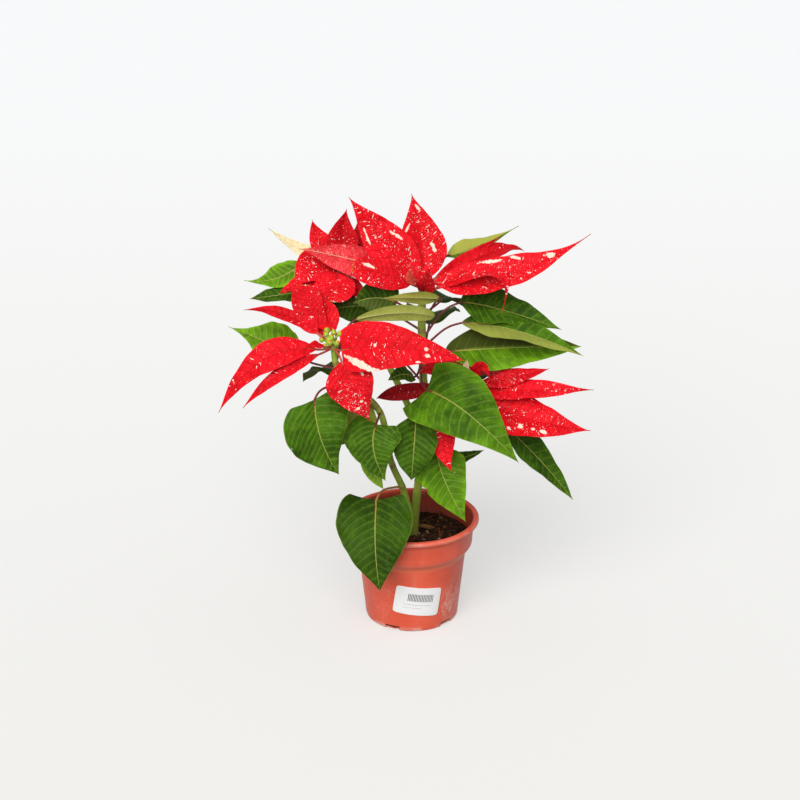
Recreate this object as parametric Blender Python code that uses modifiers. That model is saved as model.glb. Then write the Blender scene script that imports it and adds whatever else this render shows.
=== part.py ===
"""A poinsettia in a 12 cm nursery pot, about 39 cm tall.

Lengths in the tables below are millimetres. The origin is the middle of the
pot's flat underside, +X is the plant's right, +Y its back and +Z up.

A leaf or bract is a blade. Its midrib is a curve through three points (base,
middle and tip), its width follows the share s of the way along as
s**rise * (1 - s)**fall, and its two halves fold up from the midrib. The blade
is an open grid that a Solidify modifier thickens, a stalk is a bevelled curve,
and one Boolean union joins all that grows together.
"""
import math
import random
from collections import namedtuple

import bmesh
import bpy
from mathutils import Matrix, Vector

MM = 0.001
GAP = 0.3

# Pot: heights and radii of its outer wall
POT_HEIGHT = 96.0
LIP_RADIUS = 60.0
LIP_HEIGHT = 4.5
COLLAR_RADIUS_TOP = 55.5
COLLAR_RADIUS_LOW = 54.0
COLLAR_FOOT = 69.0
WALL_RADIUS_TOP = 49.0
BASE_RADIUS = 41.5
POT_WALL = 1.2
POT_STEPS = 36
NOTCH_COUNT = 5
NOTCH_WIDTH = 15.0
NOTCH_HEIGHT = 4.5
NOTCH_FIRST = -25.0

# Soil
SOIL_TOP = 77.0
SOIL_LUMP = 2.2
SOIL_HOLE_DEPTH = 17.0

# Price sticker on the wall, left blank
LABEL_WIDTH = 41.0
LABEL_HEIGHT = 27.0
LABEL_THICK = 0.5
LABEL_CENTRE_Z = 32.0
LABEL_AZIMUTH = 6.0
LABEL_TURN = -8.0

# Blades and stalks
BLADE_THICK = 0.7
TIP_HALF_WIDTH = 0.8
STALK_RADIUS = 1.3
TRUNK_RADIUS = 4.3
BRANCH_RADIUS = 3.4
DISC_HEIGHT = 4.4
ROWS = (0.0, 0.07, 0.2, 0.36, 0.52, 0.68, 0.84, 1.0)
COLUMNS = (-1.0, -0.55, 0.0, 0.55, 1.0)
NARROW = 31.0
NARROW_ROWS = (0.0, 0.1, 0.28, 0.48, 0.7, 0.88, 1.0)
NARROW_COLUMNS = (-1.0, 0.0, 1.0)

Form = namedtuple("Form", "rise fall sweep wave")
HEART = Form(rise=0.42, fall=1.20, sweep=0.16, wave=0.05)
OVAL = Form(rise=0.65, fall=1.15, sweep=0.0, wave=0.06)
BRACT = Form(rise=0.95, fall=1.45, sweep=0.0, wave=0.05)
BROAD = Form(rise=0.36, fall=1.05, sweep=0.04, wave=0.04)
BLUNT = Form(rise=0.60, fall=0.42, sweep=0.0, wave=0.03)
TAILED = Form(rise=1.05, fall=2.1, sweep=0.0, wave=0.05)

# base, middle, tip: points of the midrib; face: where the upper side looks
Blade = namedtuple("Blade", "name base middle tip width face fold form lean", defaults=(BRACT, 0.0))
# the same, with the height on its stem where the stalk starts
Leaf = namedtuple("Leaf", "name root base middle tip width face fold form lean", defaults=(OVAL, 0.0))

# Middle lines of the four stems, from root to top
STEMS = {
    "top": ((2, 4, 61), (2, 4, 78), (4, 3, 110), (8, 2, 150), (10, 0, 205), (8, -1, 265), (8, 0, 305)),
    "left": ((2, 4, 92), (-3, 0, 104), (-9, -5, 126), (-19, -13, 155), (-28, -26, 205),
             (-55, -38, 238), (-64, -42, 254), (-66, -42, 267)),
    "right": ((8, 2, 142), (14, 0, 165), (26, -5, 196), (39, -10, 221)),
    "rear": ((8, 1, 165), (-5, 10, 200), (-34, 25, 258), (-58, 35, 309)),
}

LEAVES = {
    "top": (
        Leaf("right one", 262, (41, 4, 294), (75, 3, 288), (127, -6, 273), 41, (0, -0.6, 0.8), 12),
        Leaf("right two", 254, (42, -6, 279), (90, -14, 274), (145, -20, 254), 30, (0, -0.5, 0.85), 14),
        Leaf("right three", 236, (28, -4, 252), (86, -2, 255), (146, 4, 254), 42, (0, -0.75, 0.65), 10),
        Leaf("left dark one", 270, (-30, 13, 286), (-52, 12, 288), (-73, 8, 284), 34, (0, -0.9, 0.4), 10),
        Leaf("left dark two", 280, (-13, -6, 297), (-31, -8, 302), (-50, -10, 298), 36, (0, -0.9, 0.4), 10),
        Leaf("behind stalks", 272, (20, 18, 290), (30, 40, 286), (45, 62, 272), 40, (0, -0.3, 0.95), 10),
        Leaf("front sliver", 284, (23, -10, 302), (1, -24, 307), (-24, -30, 309), 11, (0, 0.95, -0.1), 6),
        Leaf("big front", 243, (12, -30, 227), (46, -54, 215), (89, -68, 176),
             64, (-0.1, -0.85, 0.5), 10, HEART, 0.35),
        Leaf("centre low", 190, (3, -30, 203), (1, -46, 178), (-1, -48, 151), 40, (0, -0.9, 0.35), 10),
        Leaf("right low", 186, (21, -20, 171), (27, -34, 147), (46, -46, 111), 46, (0.1, -0.9, 0.4), 10),
        Leaf("small olive", 246, (1, -18, 234), (-9, -28, 240), (-21, -34, 237), 18, (0, -0.6, 0.8), 10),
        Leaf("top right", 292, (29, 21, 330), (56, 33, 335), (92, 46, 350),
             22, (0.1, -0.5, 0.85), 12, TAILED),
        Leaf("back high", 240, (15, 40, 262), (20, 75, 262), (24, 112, 240), 50, (0, 0.1, 1), 10),
        Leaf("back left", 222, (-20, 36, 240), (-45, 62, 238), (-70, 88, 217), 46, (0, 0.1, 1), 10),
        Leaf("back right", 200, (40, 34, 211), (68, 55, 208), (96, 74, 186), 46, (0, 0.1, 1), 10),
        Leaf("back low", 130, (20, 38, 185), (26, 66, 178), (34, 92, 150), 40, (0, 0.1, 1), 10),
    ),
    "left": (
        Leaf("far left", 250, (-96, -20, 252), (-126, -14, 265), (-157, -10, 277),
             46, (0, -0.5, 0.85), 12, TAILED),
        Leaf("front left low", 238, (-82, -58, 229), (-77, -70, 199), (-62, -72, 167),
             63, (0.35, -0.88, 0.3), 8, HEART, -0.55),
        Leaf("front middle low", 205, (-31, -46, 202), (-33, -58, 183), (-23, -60, 156),
             48, (0, -0.9, 0.4), 8, HEART),
        Leaf("over the rim", 126, (-31, -40, 129), (-32, -66, 98), (-28, -76, 59),
             68, (-0.1, -0.9, 0.45), 10, HEART),
        Leaf("pale under", 212, (-37, -24, 214), (-53, -40, 201), (-68, -50, 182), 40, (0, 0.7, -0.5), 10),
        Leaf("crossing", 256, (-48, -24, 288), (-12, -34, 297), (18, -31, 293),
             14, (0, 0.95, -0.1), 6, BLUNT),
        Leaf("small pale", 150, (-40, -34, 173), (-34, -40, 156), (-25, -42, 140), 16, (0, -0.9, 0.3), 8),
        Leaf("back", 215, (-50, 0, 225), (-75, 25, 225), (-98, 48, 205), 44, (0, 0.1, 1), 10),
    ),
    "right": (
        Leaf("small dark", 165, (30, -14, 153), (45, -18, 159), (62, -22, 168), 13, (0, -0.6, 0.8), 10),
        Leaf("far right low", 176, (79, -2, 184), (111, -6, 153), (142, -14, 117),
             28, (0.3, -0.7, 0.6), 12),
        Leaf("back", 182, (60, 25, 170), (82, 50, 160), (100, 72, 130), 42, (0, 0.1, 1), 10),
    ),
    "rear": (
        Leaf("left upper", 272, (-94, 38, 320), (-119, 30, 307), (-146, 26, 307),
             26, (0, -0.6, 0.75), 12, TAILED),
        Leaf("left lower", 262, (-84, 28, 298), (-111, 20, 296), (-140, 14, 294), 24, (0, -0.5, 0.85), 12),
        Leaf("back", 255, (-62, 60, 270), (-72, 92, 265), (-80, 122, 240), 46, (0, 0.1, 1), 10),
    ),
}

HEADS = {
    "top": (
        Blade("tall", (9, 3, 313), (7, 20, 344), (-1, 32, 382), 43, (0.1, -0.9, 0.35), 10),
        Blade("up left", (5, 0, 313), (-23, 12, 344), (-54, 20, 382), 40, (-0.1, -0.85, 0.5), 10),
        Blade("low left", (-2, -4, 313), (-25, -12, 324), (-51, -16, 331), 27, (0, -0.8, 0.55), 6, BLUNT),
        Blade("long left", (-7, 4, 320), (-53, 16, 329), (-96, 10, 340), 30, (0, 0.75, -0.5), 10),
        Blade("long right", (16, -4, 314), (86, -14, 327), (148, -12, 359), 38, (0.1, -0.6, 0.8), 12, TAILED),
        Blade("under right", (15, -6, 307), (69, -26, 329), (73, -38, 298), 15, (0.3, -0.5, 0.8), 10, TAILED),
        Blade("behind right", (20, 4, 314), (69, 14, 336), (96, 26, 333), 22, (0.1, -0.3, 0.95), 12),
        Blade("narrow right", (18, 4, 315), (47, 14, 331), (75, 20, 348), 11, (0, -0.9, 0.3), 10),
        Blade("pale curl", (2, -7, 313), (-2, -9, 321), (0, -12, 331), 9, (-0.3, -0.9, 0.2), 14),
        Blade("back middle", (6, 12, 315), (1, 22, 333), (-5, 26, 347), 16, (0, -0.9, 0.3), 10),
        Blade("back one", (11, 12, 315), (10, 48, 318), (8, 88, 302), 28, (0, 0.1, 1), 10),
        Blade("back two", (4, 12, 315), (-18, 46, 319), (-26, 80, 306), 28, (0, 0.1, 1), 10),
        Blade("inner front", (9, -8, 307), (11, -16, 317), (14, -15, 331), 17, (0, -0.9, 0.3), 6),
    ),
    "rear": (
        Blade("cream tip", (-66, 38, 318), (-97, 54, 326), (-126, 60, 344), 14, (0, -0.6, 0.8), 8),
        Blade("upper left", (-64, 36, 320), (-80, 46, 336), (-87, 52, 354), 20, (0, -0.9, 0.3), 12),
        Blade("erect", (-59, 38, 321), (-61, 48, 339), (-57, 54, 363), 30, (0.1, -0.9, 0.3), 20),
        Blade("dark back", (-52, 38, 320), (-44, 56, 334), (-48, 66, 354), 26, (-0.1, -0.9, 0.3), 10),
        Blade("broad left", (-66, 28, 316), (-86, 14, 320), (-99, 6, 308), 42, (-0.2, -0.75, 0.6), 10, BROAD),
        Blade("pointed left", (-66, 28, 314), (-96, 10, 309), (-114, 6, 301), 18, (-0.1, -0.5, 0.85), 10),
        Blade("blunt front", (-64, 20, 316), (-66, 2, 310), (-68, -8, 298), 36, (0, -0.8, 0.6), 4, BLUNT),
        Blade("under front", (-54, 24, 311), (-48, 7, 303), (-48, 0, 297), 14, (0.2, -0.7, 0.6), 10),
        Blade("back left", (-64, 40, 316), (-92, 66, 308), (-112, 92, 292), 30, (0, 0.1, 1), 10),
        Blade("back right", (-54, 41, 316), (-50, 74, 308), (-52, 104, 290), 30, (0, 0.1, 1), 10),
    ),
    "left": (
        Blade("long low", (-80, -43, 268), (-125, -58, 263), (-162, -62, 219), 28, (-0.3, -0.75, 0.6), 10),
        Blade("second low", (-77, -48, 266), (-112, -64, 252), (-141, -70, 226), 13, (-0.2, -0.8, 0.5), 10),
        Blade("big front", (-59, -48, 269), (-15, -66, 278), (42, -70, 268), 44, (0, -0.85, 0.5), 8, BROAD),
        Blade("front down", (-59, -58, 263), (-50, -66, 242), (-36, -66, 213), 41, (0, -0.95, 0.3), 8),
        Blade("narrow fold", (-78, -32, 278), (-110, -27, 294), (-141, -32, 299), 13, (-0.2, -0.6, 0.75), 14),
        Blade("small fold", (-79, -36, 279), (-91, -26, 287), (-103, -22, 293), 15, (-0.2, -0.6, 0.75), 14),
        Blade("stub left", (-73, -52, 274), (-80, -60, 278), (-89, -64, 278), 9, (-0.2, -0.6, 0.75), 10),
        Blade("rear left", (-73, -30, 277), (-87, -22, 297), (-90, -12, 315), 27, (0, -0.9, 0.3), 12, BLUNT),
        Blade("rear right", (-65, -32, 280), (-76, -20, 293), (-86, -10, 307), 25, (0.1, -0.9, 0.3), 12),
    ),
    "right": (
        Blade("upper right", (54, -12, 224), (88, -18, 234), (117, -16, 241), 18, (0, -0.6, 0.8), 10),
        Blade("middle right", (54, -14, 219), (100, -28, 226), (154, -30, 227), 23, (0.1, -0.55, 0.8), 10),
        Blade("lower right", (51, -18, 218), (94, -38, 205), (151, -46, 196), 45, (0.1, -0.7, 0.7), 10),
        Blade("small curl", (47, -17, 228), (58, -25, 246), (65, -31, 237), 11, (0, -0.9, 0.3), 14),
        Blade("pale tip", (43, -17, 229), (45, -20, 242), (46, -22, 252), 8, (0, -0.9, 0.3), 10),
        Blade("behind leaf", (32, -12, 229), (20, -15, 240), (5, -18, 237), 20, (0, -0.6, 0.8), 10),
        Blade("low left", (28, -15, 224), (-12, -16, 219), (-31, -22, 216), 15, (0, -0.95, 0.25), 10),
        Blade("hanging", (32, -20, 221), (26, -40, 187), (34, -51, 160), 24, (-0.1, -0.95, 0.2), 10),
        Blade("back right", (43, 0, 225), (69, 30, 225), (84, 60, 210), 30, (0.2, 0, 1), 10),
        Blade("back", (37, 0, 227), (38, 30, 230), (36, 60, 219), 28, (0, 0, 1), 10),
    ),
}

# Bud clusters: middle, spread and number of buds, and their radius
Buds = namedtuple("Buds", "middle spread count radius")
BUDS = {
    "top": Buds((9, -5, 313.3), 3.6, 6, 1.6),
    "rear": Buds((-58, 30, 315.7), 3.2, 5, 1.9),
    "left": Buds((-69.4, -45.2, 277.2), 7.5, 9, 2.5),
    "right": Buds((37, -7, 228.8), 4.0, 6, 2.0),
}

COLOURS = {
    "pot": (0.62, 0.13, 0.05),
    "soil": (0.025, 0.017, 0.012),
    "label": (0.85, 0.85, 0.83),
    "stem": (0.06, 0.20, 0.03),
    "bract": (0.75, 0.01, 0.02),
    "buds": (0.35, 0.42, 0.05),
}


def clear_scene():
    for item in list(bpy.data.objects):
        bpy.data.objects.remove(item, do_unlink=True)


def make_collection(name):
    collection = bpy.data.collections.new(name)
    bpy.context.scene.collection.children.link(collection)
    return collection


def make_material(name, colour, roughness):
    material = bpy.data.materials.new(name)
    material.use_nodes = True
    shader = material.node_tree.nodes["Principled BSDF"]
    shader.inputs["Base Color"].default_value = (*colour, 1.0)
    shader.inputs["Roughness"].default_value = roughness
    shader.inputs["Metallic"].default_value = 0.0
    return material


def mesh_object(name, mesh, collection):
    item = bpy.data.objects.new(name, mesh)
    collection.objects.link(item)
    return item


def object_from_bmesh(name, shape, collection):
    mesh = bpy.data.meshes.new(name)
    shape.to_mesh(mesh)
    shape.free()
    return mesh_object(name, mesh, collection)


def hide_cutter(item):
    item.hide_render = True
    item.display_type = "WIRE"


def bake_modifiers(item):
    """Replace an object's mesh by what its modifiers make of it."""
    graph = bpy.context.evaluated_depsgraph_get()
    mesh = bpy.data.meshes.new_from_object(item.evaluated_get(graph))
    item.modifiers.clear()
    item.data = mesh


def turned_object(name, profile, collection):
    """A closed turned shape: the profile (r, z) runs from axis to axis, outer side downwards."""
    shape = bmesh.new()
    points = [shape.verts.new((r * MM, 0.0, z * MM)) for r, z in profile]
    for first, second in zip(points, points[1:]):
        shape.edges.new((first, second))
    item = object_from_bmesh(name, shape, collection)
    screw = item.modifiers.new("Screw", "SCREW")
    screw.steps = POT_STEPS
    screw.render_steps = POT_STEPS
    screw.use_merge_vertices = True
    screw.merge_threshold = 0.00001
    return item


def pot_inner_radius(z):
    """Inside radius of the pot's lower wall at height z."""
    share = z / COLLAR_FOOT
    return BASE_RADIUS + (WALL_RADIUS_TOP - BASE_RADIUS) * share - POT_WALL


def pot_profile():
    lip_low = POT_HEIGHT - LIP_HEIGHT
    collar_inner = COLLAR_RADIUS_LOW - POT_WALL
    floor = POT_WALL + 0.6
    return (
        (0.0, floor),
        (pot_inner_radius(floor), floor),
        (pot_inner_radius(COLLAR_FOOT), COLLAR_FOOT - 0.5),
        (WALL_RADIUS_TOP + 0.6, COLLAR_FOOT + POT_WALL),
        (collar_inner, COLLAR_FOOT + POT_WALL + 0.6),
        (COLLAR_RADIUS_TOP - POT_WALL, lip_low),
        (COLLAR_RADIUS_TOP - 0.6, POT_HEIGHT - 0.8),
        (COLLAR_RADIUS_TOP + 0.8, POT_HEIGHT),
        (LIP_RADIUS - 1.2, POT_HEIGHT - 0.3),
        (LIP_RADIUS, POT_HEIGHT - 1.4),
        (LIP_RADIUS, lip_low + 1.0),
        (LIP_RADIUS - 1.0, lip_low),
        (COLLAR_RADIUS_TOP, lip_low - 0.4),
        (COLLAR_RADIUS_LOW, COLLAR_FOOT + 0.6),
        (COLLAR_RADIUS_LOW - 0.8, COLLAR_FOOT),
        (WALL_RADIUS_TOP, COLLAR_FOOT - 0.6),
        (BASE_RADIUS + 0.2, 1.0),
        (BASE_RADIUS - 0.8, 0.0),
        (0.0, 0.0),
    )


def make_pot(collection, cutters):
    """The turned wall, with drain notches cut through its foot."""
    pot = turned_object("pot", pot_profile(), collection)
    for index in range(NOTCH_COUNT):
        azimuth = math.radians(NOTCH_FIRST + index * 360.0 / NOTCH_COUNT)
        bpy.ops.mesh.primitive_cube_add(size=1.0)
        notch = bpy.context.object
        notch.name = f"notch_{index + 1}"
        notch.scale = (NOTCH_WIDTH * MM, 6.0 * MM, 2.0 * NOTCH_HEIGHT * MM)
        radius = (BASE_RADIUS + 0.6) * MM
        notch.location = (math.sin(azimuth) * radius, -math.cos(azimuth) * radius, 0.0)
        notch.rotation_euler = (0.0, 0.0, azimuth)
        bpy.context.collection.objects.unlink(notch)
        cutters.objects.link(notch)
        hide_cutter(notch)
    cut = pot.modifiers.new("Notches", "BOOLEAN")
    cut.operation = "DIFFERENCE"
    cut.operand_type = "COLLECTION"
    cut.collection = cutters
    cut.solver = "EXACT"
    return pot


def make_soil(collection, cutters):
    """Soil filling the pot, with a lumpy top and a plain hole for the trunk."""
    rng = random.Random(4)
    rings = (0.35, 0.7, 1.0)
    count = 26
    top_radius = COLLAR_RADIUS_LOW - POT_WALL - GAP - 0.4
    shoulder = COLLAR_FOOT + POT_WALL + 0.6 + GAP
    floor = POT_WALL + 0.6 + GAP
    shape = bmesh.new()
    centre = shape.verts.new((0.0, 0.0, SOIL_TOP * MM))
    levels = []
    for share in rings:
        ring = []
        for index in range(count):
            angle = 2.0 * math.pi * index / count
            lump = rng.uniform(-1.0, 1.0) * SOIL_LUMP
            if share == 1.0:
                lump = -1.5
            radius = top_radius * share
            place = Vector((radius * math.cos(angle), radius * math.sin(angle), SOIL_TOP + lump))
            ring.append(shape.verts.new(place * MM))
        levels.append(ring)
    neck = WALL_RADIUS_TOP - POT_WALL - GAP - 0.3
    sides = (
        (top_radius, shoulder),
        (WALL_RADIUS_TOP, shoulder - 0.3),
        (neck, COLLAR_FOOT - 0.4),
        (pot_inner_radius(floor) - GAP - 0.1, floor),
    )
    for radius, z in sides:
        ring = []
        for index in range(count):
            angle = 2.0 * math.pi * index / count
            place = Vector((radius * math.cos(angle), radius * math.sin(angle), z))
            ring.append(shape.verts.new(place * MM))
        levels.append(ring)
    for index in range(count):
        after = (index + 1) % count
        shape.faces.new((centre, levels[0][index], levels[0][after]))
        for upper, lower in zip(levels, levels[1:]):
            shape.faces.new((upper[index], lower[index], lower[after], upper[after]))
    shape.faces.new(list(reversed(levels[-1])))
    bmesh.ops.triangulate(shape, faces=shape.faces[:])
    soil = object_from_bmesh("soil", shape, collection)
    foot = Vector(STEMS["top"][0])
    ends = (foot - Vector((0.0, 0.0, 2.0 * GAP)), foot + Vector((0.0, 0.0, 2.0 * SOIL_HOLE_DEPTH)))
    hole = tube_object("trunk hole", ends, TRUNK_RADIUS + 2.0 * GAP, cutters, sides=3)
    hide_cutter(hole)
    cut = soil.modifiers.new("Trunk hole", "BOOLEAN")
    cut.operation = "DIFFERENCE"
    cut.object = hole
    cut.solver = "EXACT"
    return soil


def make_label(collection):
    """A thin plate bent round the wall, a little crooked."""
    columns = 8
    rows = 2
    turn = math.radians(LABEL_TURN)
    shape = bmesh.new()
    grid = []
    for row in range(rows + 1):
        line = []
        for column in range(columns + 1):
            across = (column / columns - 0.5) * LABEL_WIDTH
            up = (row / rows - 0.5) * LABEL_HEIGHT
            along = across * math.cos(turn) - up * math.sin(turn)
            height = across * math.sin(turn) + up * math.cos(turn) + LABEL_CENTRE_Z
            wall = BASE_RADIUS + (WALL_RADIUS_TOP - BASE_RADIUS) * height / COLLAR_FOOT
            radius = wall + GAP + 0.3
            azimuth = math.radians(LABEL_AZIMUTH) + along / radius
            line.append(shape.verts.new((radius * math.sin(azimuth) * MM, -radius * math.cos(azimuth) * MM,
                                         height * MM)))
        grid.append(line)
    for lower, upper in zip(grid, grid[1:]):
        for left in range(columns):
            shape.faces.new((lower[left], lower[left + 1], upper[left + 1], upper[left]))
    bmesh.ops.triangulate(shape, faces=shape.faces[:])
    label = object_from_bmesh("label", shape, collection)
    thicken = label.modifiers.new("Solidify", "SOLIDIFY")
    thicken.thickness = LABEL_THICK * MM
    thicken.offset = 1.0
    return label


def smooth_path(points, steps):
    """Points read from a Catmull-Rom curve through the given ones."""
    points = [Vector(point) for point in points]
    padded = [2 * points[0] - points[1]] + points + [2 * points[-1] - points[-2]]
    path = []
    for index in range(1, len(padded) - 2):
        a, b, c, d = padded[index - 1:index + 3]
        for step in range(steps):
            t = step / steps
            path.append(0.5 * (2 * b + (c - a) * t + (2 * a - 5 * b + 4 * c - d) * t * t
                               + (3 * b - a - 3 * c + d) * t ** 3))
    path.append(points[-1])
    return path


def tube_object(name, points, radius, collection, sides=1, taper=1.0):
    """A round tube along points, as a mesh with closed ends."""
    path = [Vector(point) for point in points]
    curve = bpy.data.curves.new(name, "CURVE")
    curve.dimensions = "3D"
    curve.bevel_depth = radius * MM
    curve.bevel_resolution = sides
    curve.use_fill_caps = True
    spline = curve.splines.new("POLY")
    spline.points.add(len(path) - 1)
    for index, (point, place) in enumerate(zip(spline.points, path)):
        point.co = (*(place * MM), 1.0)
        point.radius = 1.0 + (taper - 1.0) * index / (len(path) - 1)
    wire = mesh_object(name, curve, collection)
    graph = bpy.context.evaluated_depsgraph_get()
    mesh = bpy.data.meshes.new_from_object(wire.evaluated_get(graph))
    matrix = wire.matrix_world.copy()
    bpy.data.objects.remove(wire, do_unlink=True)
    shape = bmesh.new()
    shape.from_mesh(mesh)
    bmesh.ops.remove_doubles(shape, verts=shape.verts[:], dist=0.000001)
    bmesh.ops.recalc_face_normals(shape, faces=shape.faces[:])
    shape.to_mesh(mesh)
    shape.free()
    item = mesh_object(name, mesh, collection)
    item.matrix_world = matrix
    return item


def midrib(blade, s):
    """Place and direction on the midrib, a quadratic curve through base, middle and tip."""
    base, middle, tip = Vector(blade.base), Vector(blade.middle), Vector(blade.tip)
    pull = 2.0 * middle - 0.5 * (base + tip)
    place = base * (1 - s) ** 2 + pull * 2 * s * (1 - s) + tip * s * s
    direction = (pull - base) * 2 * (1 - s) + (tip - pull) * 2 * s
    return place, direction.normalized()


def half_width(blade, s):
    form = blade.form
    peak = form.rise / (form.rise + form.fall)
    top = peak ** form.rise * (1 - peak) ** form.fall
    share = s ** form.rise * (1 - s) ** form.fall / top
    return max(0.5 * blade.width * share, TIP_HALF_WIDTH)


def blade_object(blade, seed, collection):
    """One leaf or bract: a folded, waved grid, thickened."""
    form = blade.form
    rng = random.Random(seed)
    phase = rng.uniform(0.0, 2.0 * math.pi)
    fold = math.radians(blade.fold)
    face = Vector(blade.face)
    length = (Vector(blade.tip) - Vector(blade.base)).length
    shape = bmesh.new()
    grid = []
    narrow = blade.width < NARROW
    rows = NARROW_ROWS if narrow else ROWS
    columns = NARROW_COLUMNS if narrow else COLUMNS
    for s in rows:
        place, along = midrib(blade, s)
        up = (face - along * face.dot(along)).normalized()
        side = along.cross(up)
        reach = half_width(blade, s)
        line = []
        for t in columns:
            ripple = form.wave * blade.width * t * t * math.sin(4.0 * math.pi * s + phase + 1.5 * t)
            ripple *= min(1.0, reach / (0.3 * blade.width))
            back = form.sweep * length * t * t * max(0.0, 1.0 - s / 0.35) ** 2 * min(1.0, s / 0.06)
            back += blade.lean * t * reach * (1.0 - s)
            point = place + side * (t * reach * math.cos(fold)) - along * back
            point += up * (abs(t) * reach * math.sin(fold) + ripple)
            line.append(shape.verts.new(point * MM))
        grid.append(line)
    for lower, upper in zip(grid, grid[1:]):
        for left in range(len(columns) - 1):
            shape.faces.new((lower[left], upper[left], upper[left + 1], lower[left + 1]))
    bmesh.ops.triangulate(shape, faces=shape.faces[:], quad_method="BEAUTY")
    item = object_from_bmesh(blade.name, shape, collection)
    thicken = item.modifiers.new("Solidify", "SOLIDIFY")
    thicken.thickness = BLADE_THICK * MM
    thicken.offset = 0.0
    bake_modifiers(item)
    return item


def stalk_object(start, blade, collection):
    """A stalk from the stem to a little way under the blade."""
    base, along = midrib(blade, 0.0)
    inner, _ = midrib(blade, 0.08)
    start = Vector(start)
    bend = base - along * (0.3 * (base - start).length)
    middle = 0.25 * start + 0.5 * bend + 0.25 * base
    path = (start, middle, base, inner)
    return tube_object(blade.name + " stalk", path, STALK_RADIUS, collection)


def stem_point(points, height):
    """Where a stem's middle line crosses a height."""
    for low, high in zip(points, points[1:]):
        if low[2] <= height <= high[2]:
            share = (height - low[2]) / (high[2] - low[2])
            return Vector(low).lerp(Vector(high), share)
    return Vector(points[-1])


def fuse(name, pieces, collection, cutter=None):
    """One solid from the objects of a collection, cut clear of its neighbour."""
    seed = list(pieces.objects)[0]
    body = mesh_object(name, seed.data.copy(), collection)
    body.matrix_world = seed.matrix_world.copy()
    bpy.data.objects.remove(seed, do_unlink=True)
    union = body.modifiers.new("Union", "BOOLEAN")
    union.operation = "UNION"
    union.operand_type = "COLLECTION"
    union.collection = pieces
    union.solver = "MANIFOLD"
    if cutter:
        cut = body.modifiers.new("Clear of the trunk", "BOOLEAN")
        cut.operation = "DIFFERENCE"
        cut.object = cutter
        cut.solver = "MANIFOLD"
    bake_modifiers(body)
    for item in list(pieces.objects):
        bpy.data.objects.remove(item, do_unlink=True)
    bpy.data.collections.remove(pieces)
    keep_largest(body)
    return body


def keep_largest(body):
    """Drop loose scraps that a union leaves."""
    shape = bmesh.new()
    shape.from_mesh(body.data)
    left = set(shape.verts)
    groups = []
    while left:
        stack = [left.pop()]
        group = set(stack)
        while stack:
            for edge in stack.pop().link_edges:
                for other in edge.verts:
                    if other in left:
                        left.remove(other)
                        group.add(other)
                        stack.append(other)
        groups.append(group)
    groups.sort(key=len)
    scraps = [vert for group in groups[:-1] for vert in group]
    bmesh.ops.delete(shape, geom=scraps, context="VERTS")
    shape.to_mesh(body.data)
    shape.free()


def make_stem(name, collection, cutter=None):
    """A leafy stem: the stem with its leaves on their stalks."""
    pieces = make_collection("pieces of " + name)
    thick = TRUNK_RADIUS if name == "top" else BRANCH_RADIUS
    tube_object(name, smooth_path(STEMS[name], 2), thick, pieces, sides=2, taper=0.8)
    for index, leaf in enumerate(LEAVES[name]):
        blade_object(leaf, f"leaf {name} {index}", pieces)
        stalk_object(stem_point(STEMS[name], leaf.root), leaf, pieces)
    return fuse("stem_" + name, pieces, collection, cutter)


def make_head(name, collection):
    """A flower head: bracts round a small disc above the top of the stem."""
    pieces = make_collection("pieces of head " + name)
    below, top = smooth_path(STEMS[name], 2)[-2:]
    upward = (top - below).normalized()
    hub = top + upward * (GAP + 0.5 * DISC_HEIGHT)
    turn = Vector((0.0, 0.0, 1.0)).rotation_difference(upward).to_matrix().to_4x4()
    shape = bmesh.new()
    bmesh.ops.create_cone(shape, cap_ends=True, segments=8, radius1=3.0 * MM, radius2=4.5 * MM,
                          depth=DISC_HEIGHT * MM, matrix=Matrix.Translation(hub * MM) @ turn)
    object_from_bmesh("disc", shape, pieces)
    for index, bract in enumerate(HEADS[name]):
        blade_object(bract, f"bract {name} {index}", pieces)
        stalk_object(hub, bract, pieces)
    return fuse("bracts_" + name, pieces, collection)


def make_buds(name, collection):
    """A cluster of flower buds on a small cushion."""
    spec = BUDS[name]
    rng = random.Random("buds " + name)
    pieces = make_collection("pieces of buds " + name)
    middle = Vector(spec.middle)
    shape = bmesh.new()
    bmesh.ops.create_uvsphere(shape, u_segments=7, v_segments=4, radius=spec.spread * 0.75 * MM)
    bmesh.ops.scale(shape, verts=shape.verts[:], vec=(1.0, 1.0, 0.6))
    bmesh.ops.translate(shape, verts=shape.verts[:], vec=middle * MM)
    object_from_bmesh("cushion", shape, pieces)
    for index in range(spec.count):
        angle = index * math.radians(137.5)
        out = spec.spread * math.sqrt((index + 0.3) / spec.count)
        place = middle + Vector((out * math.cos(angle), out * math.sin(angle), 2.5 - out * 0.25))
        size = spec.radius * rng.uniform(0.9, 1.1)
        shape = bmesh.new()
        bmesh.ops.create_uvsphere(shape, u_segments=6, v_segments=4, radius=size * MM)
        bmesh.ops.translate(shape, verts=shape.verts[:], vec=place * MM)
        object_from_bmesh("bud", shape, pieces)
    return fuse("buds_" + name, pieces, collection)


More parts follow.
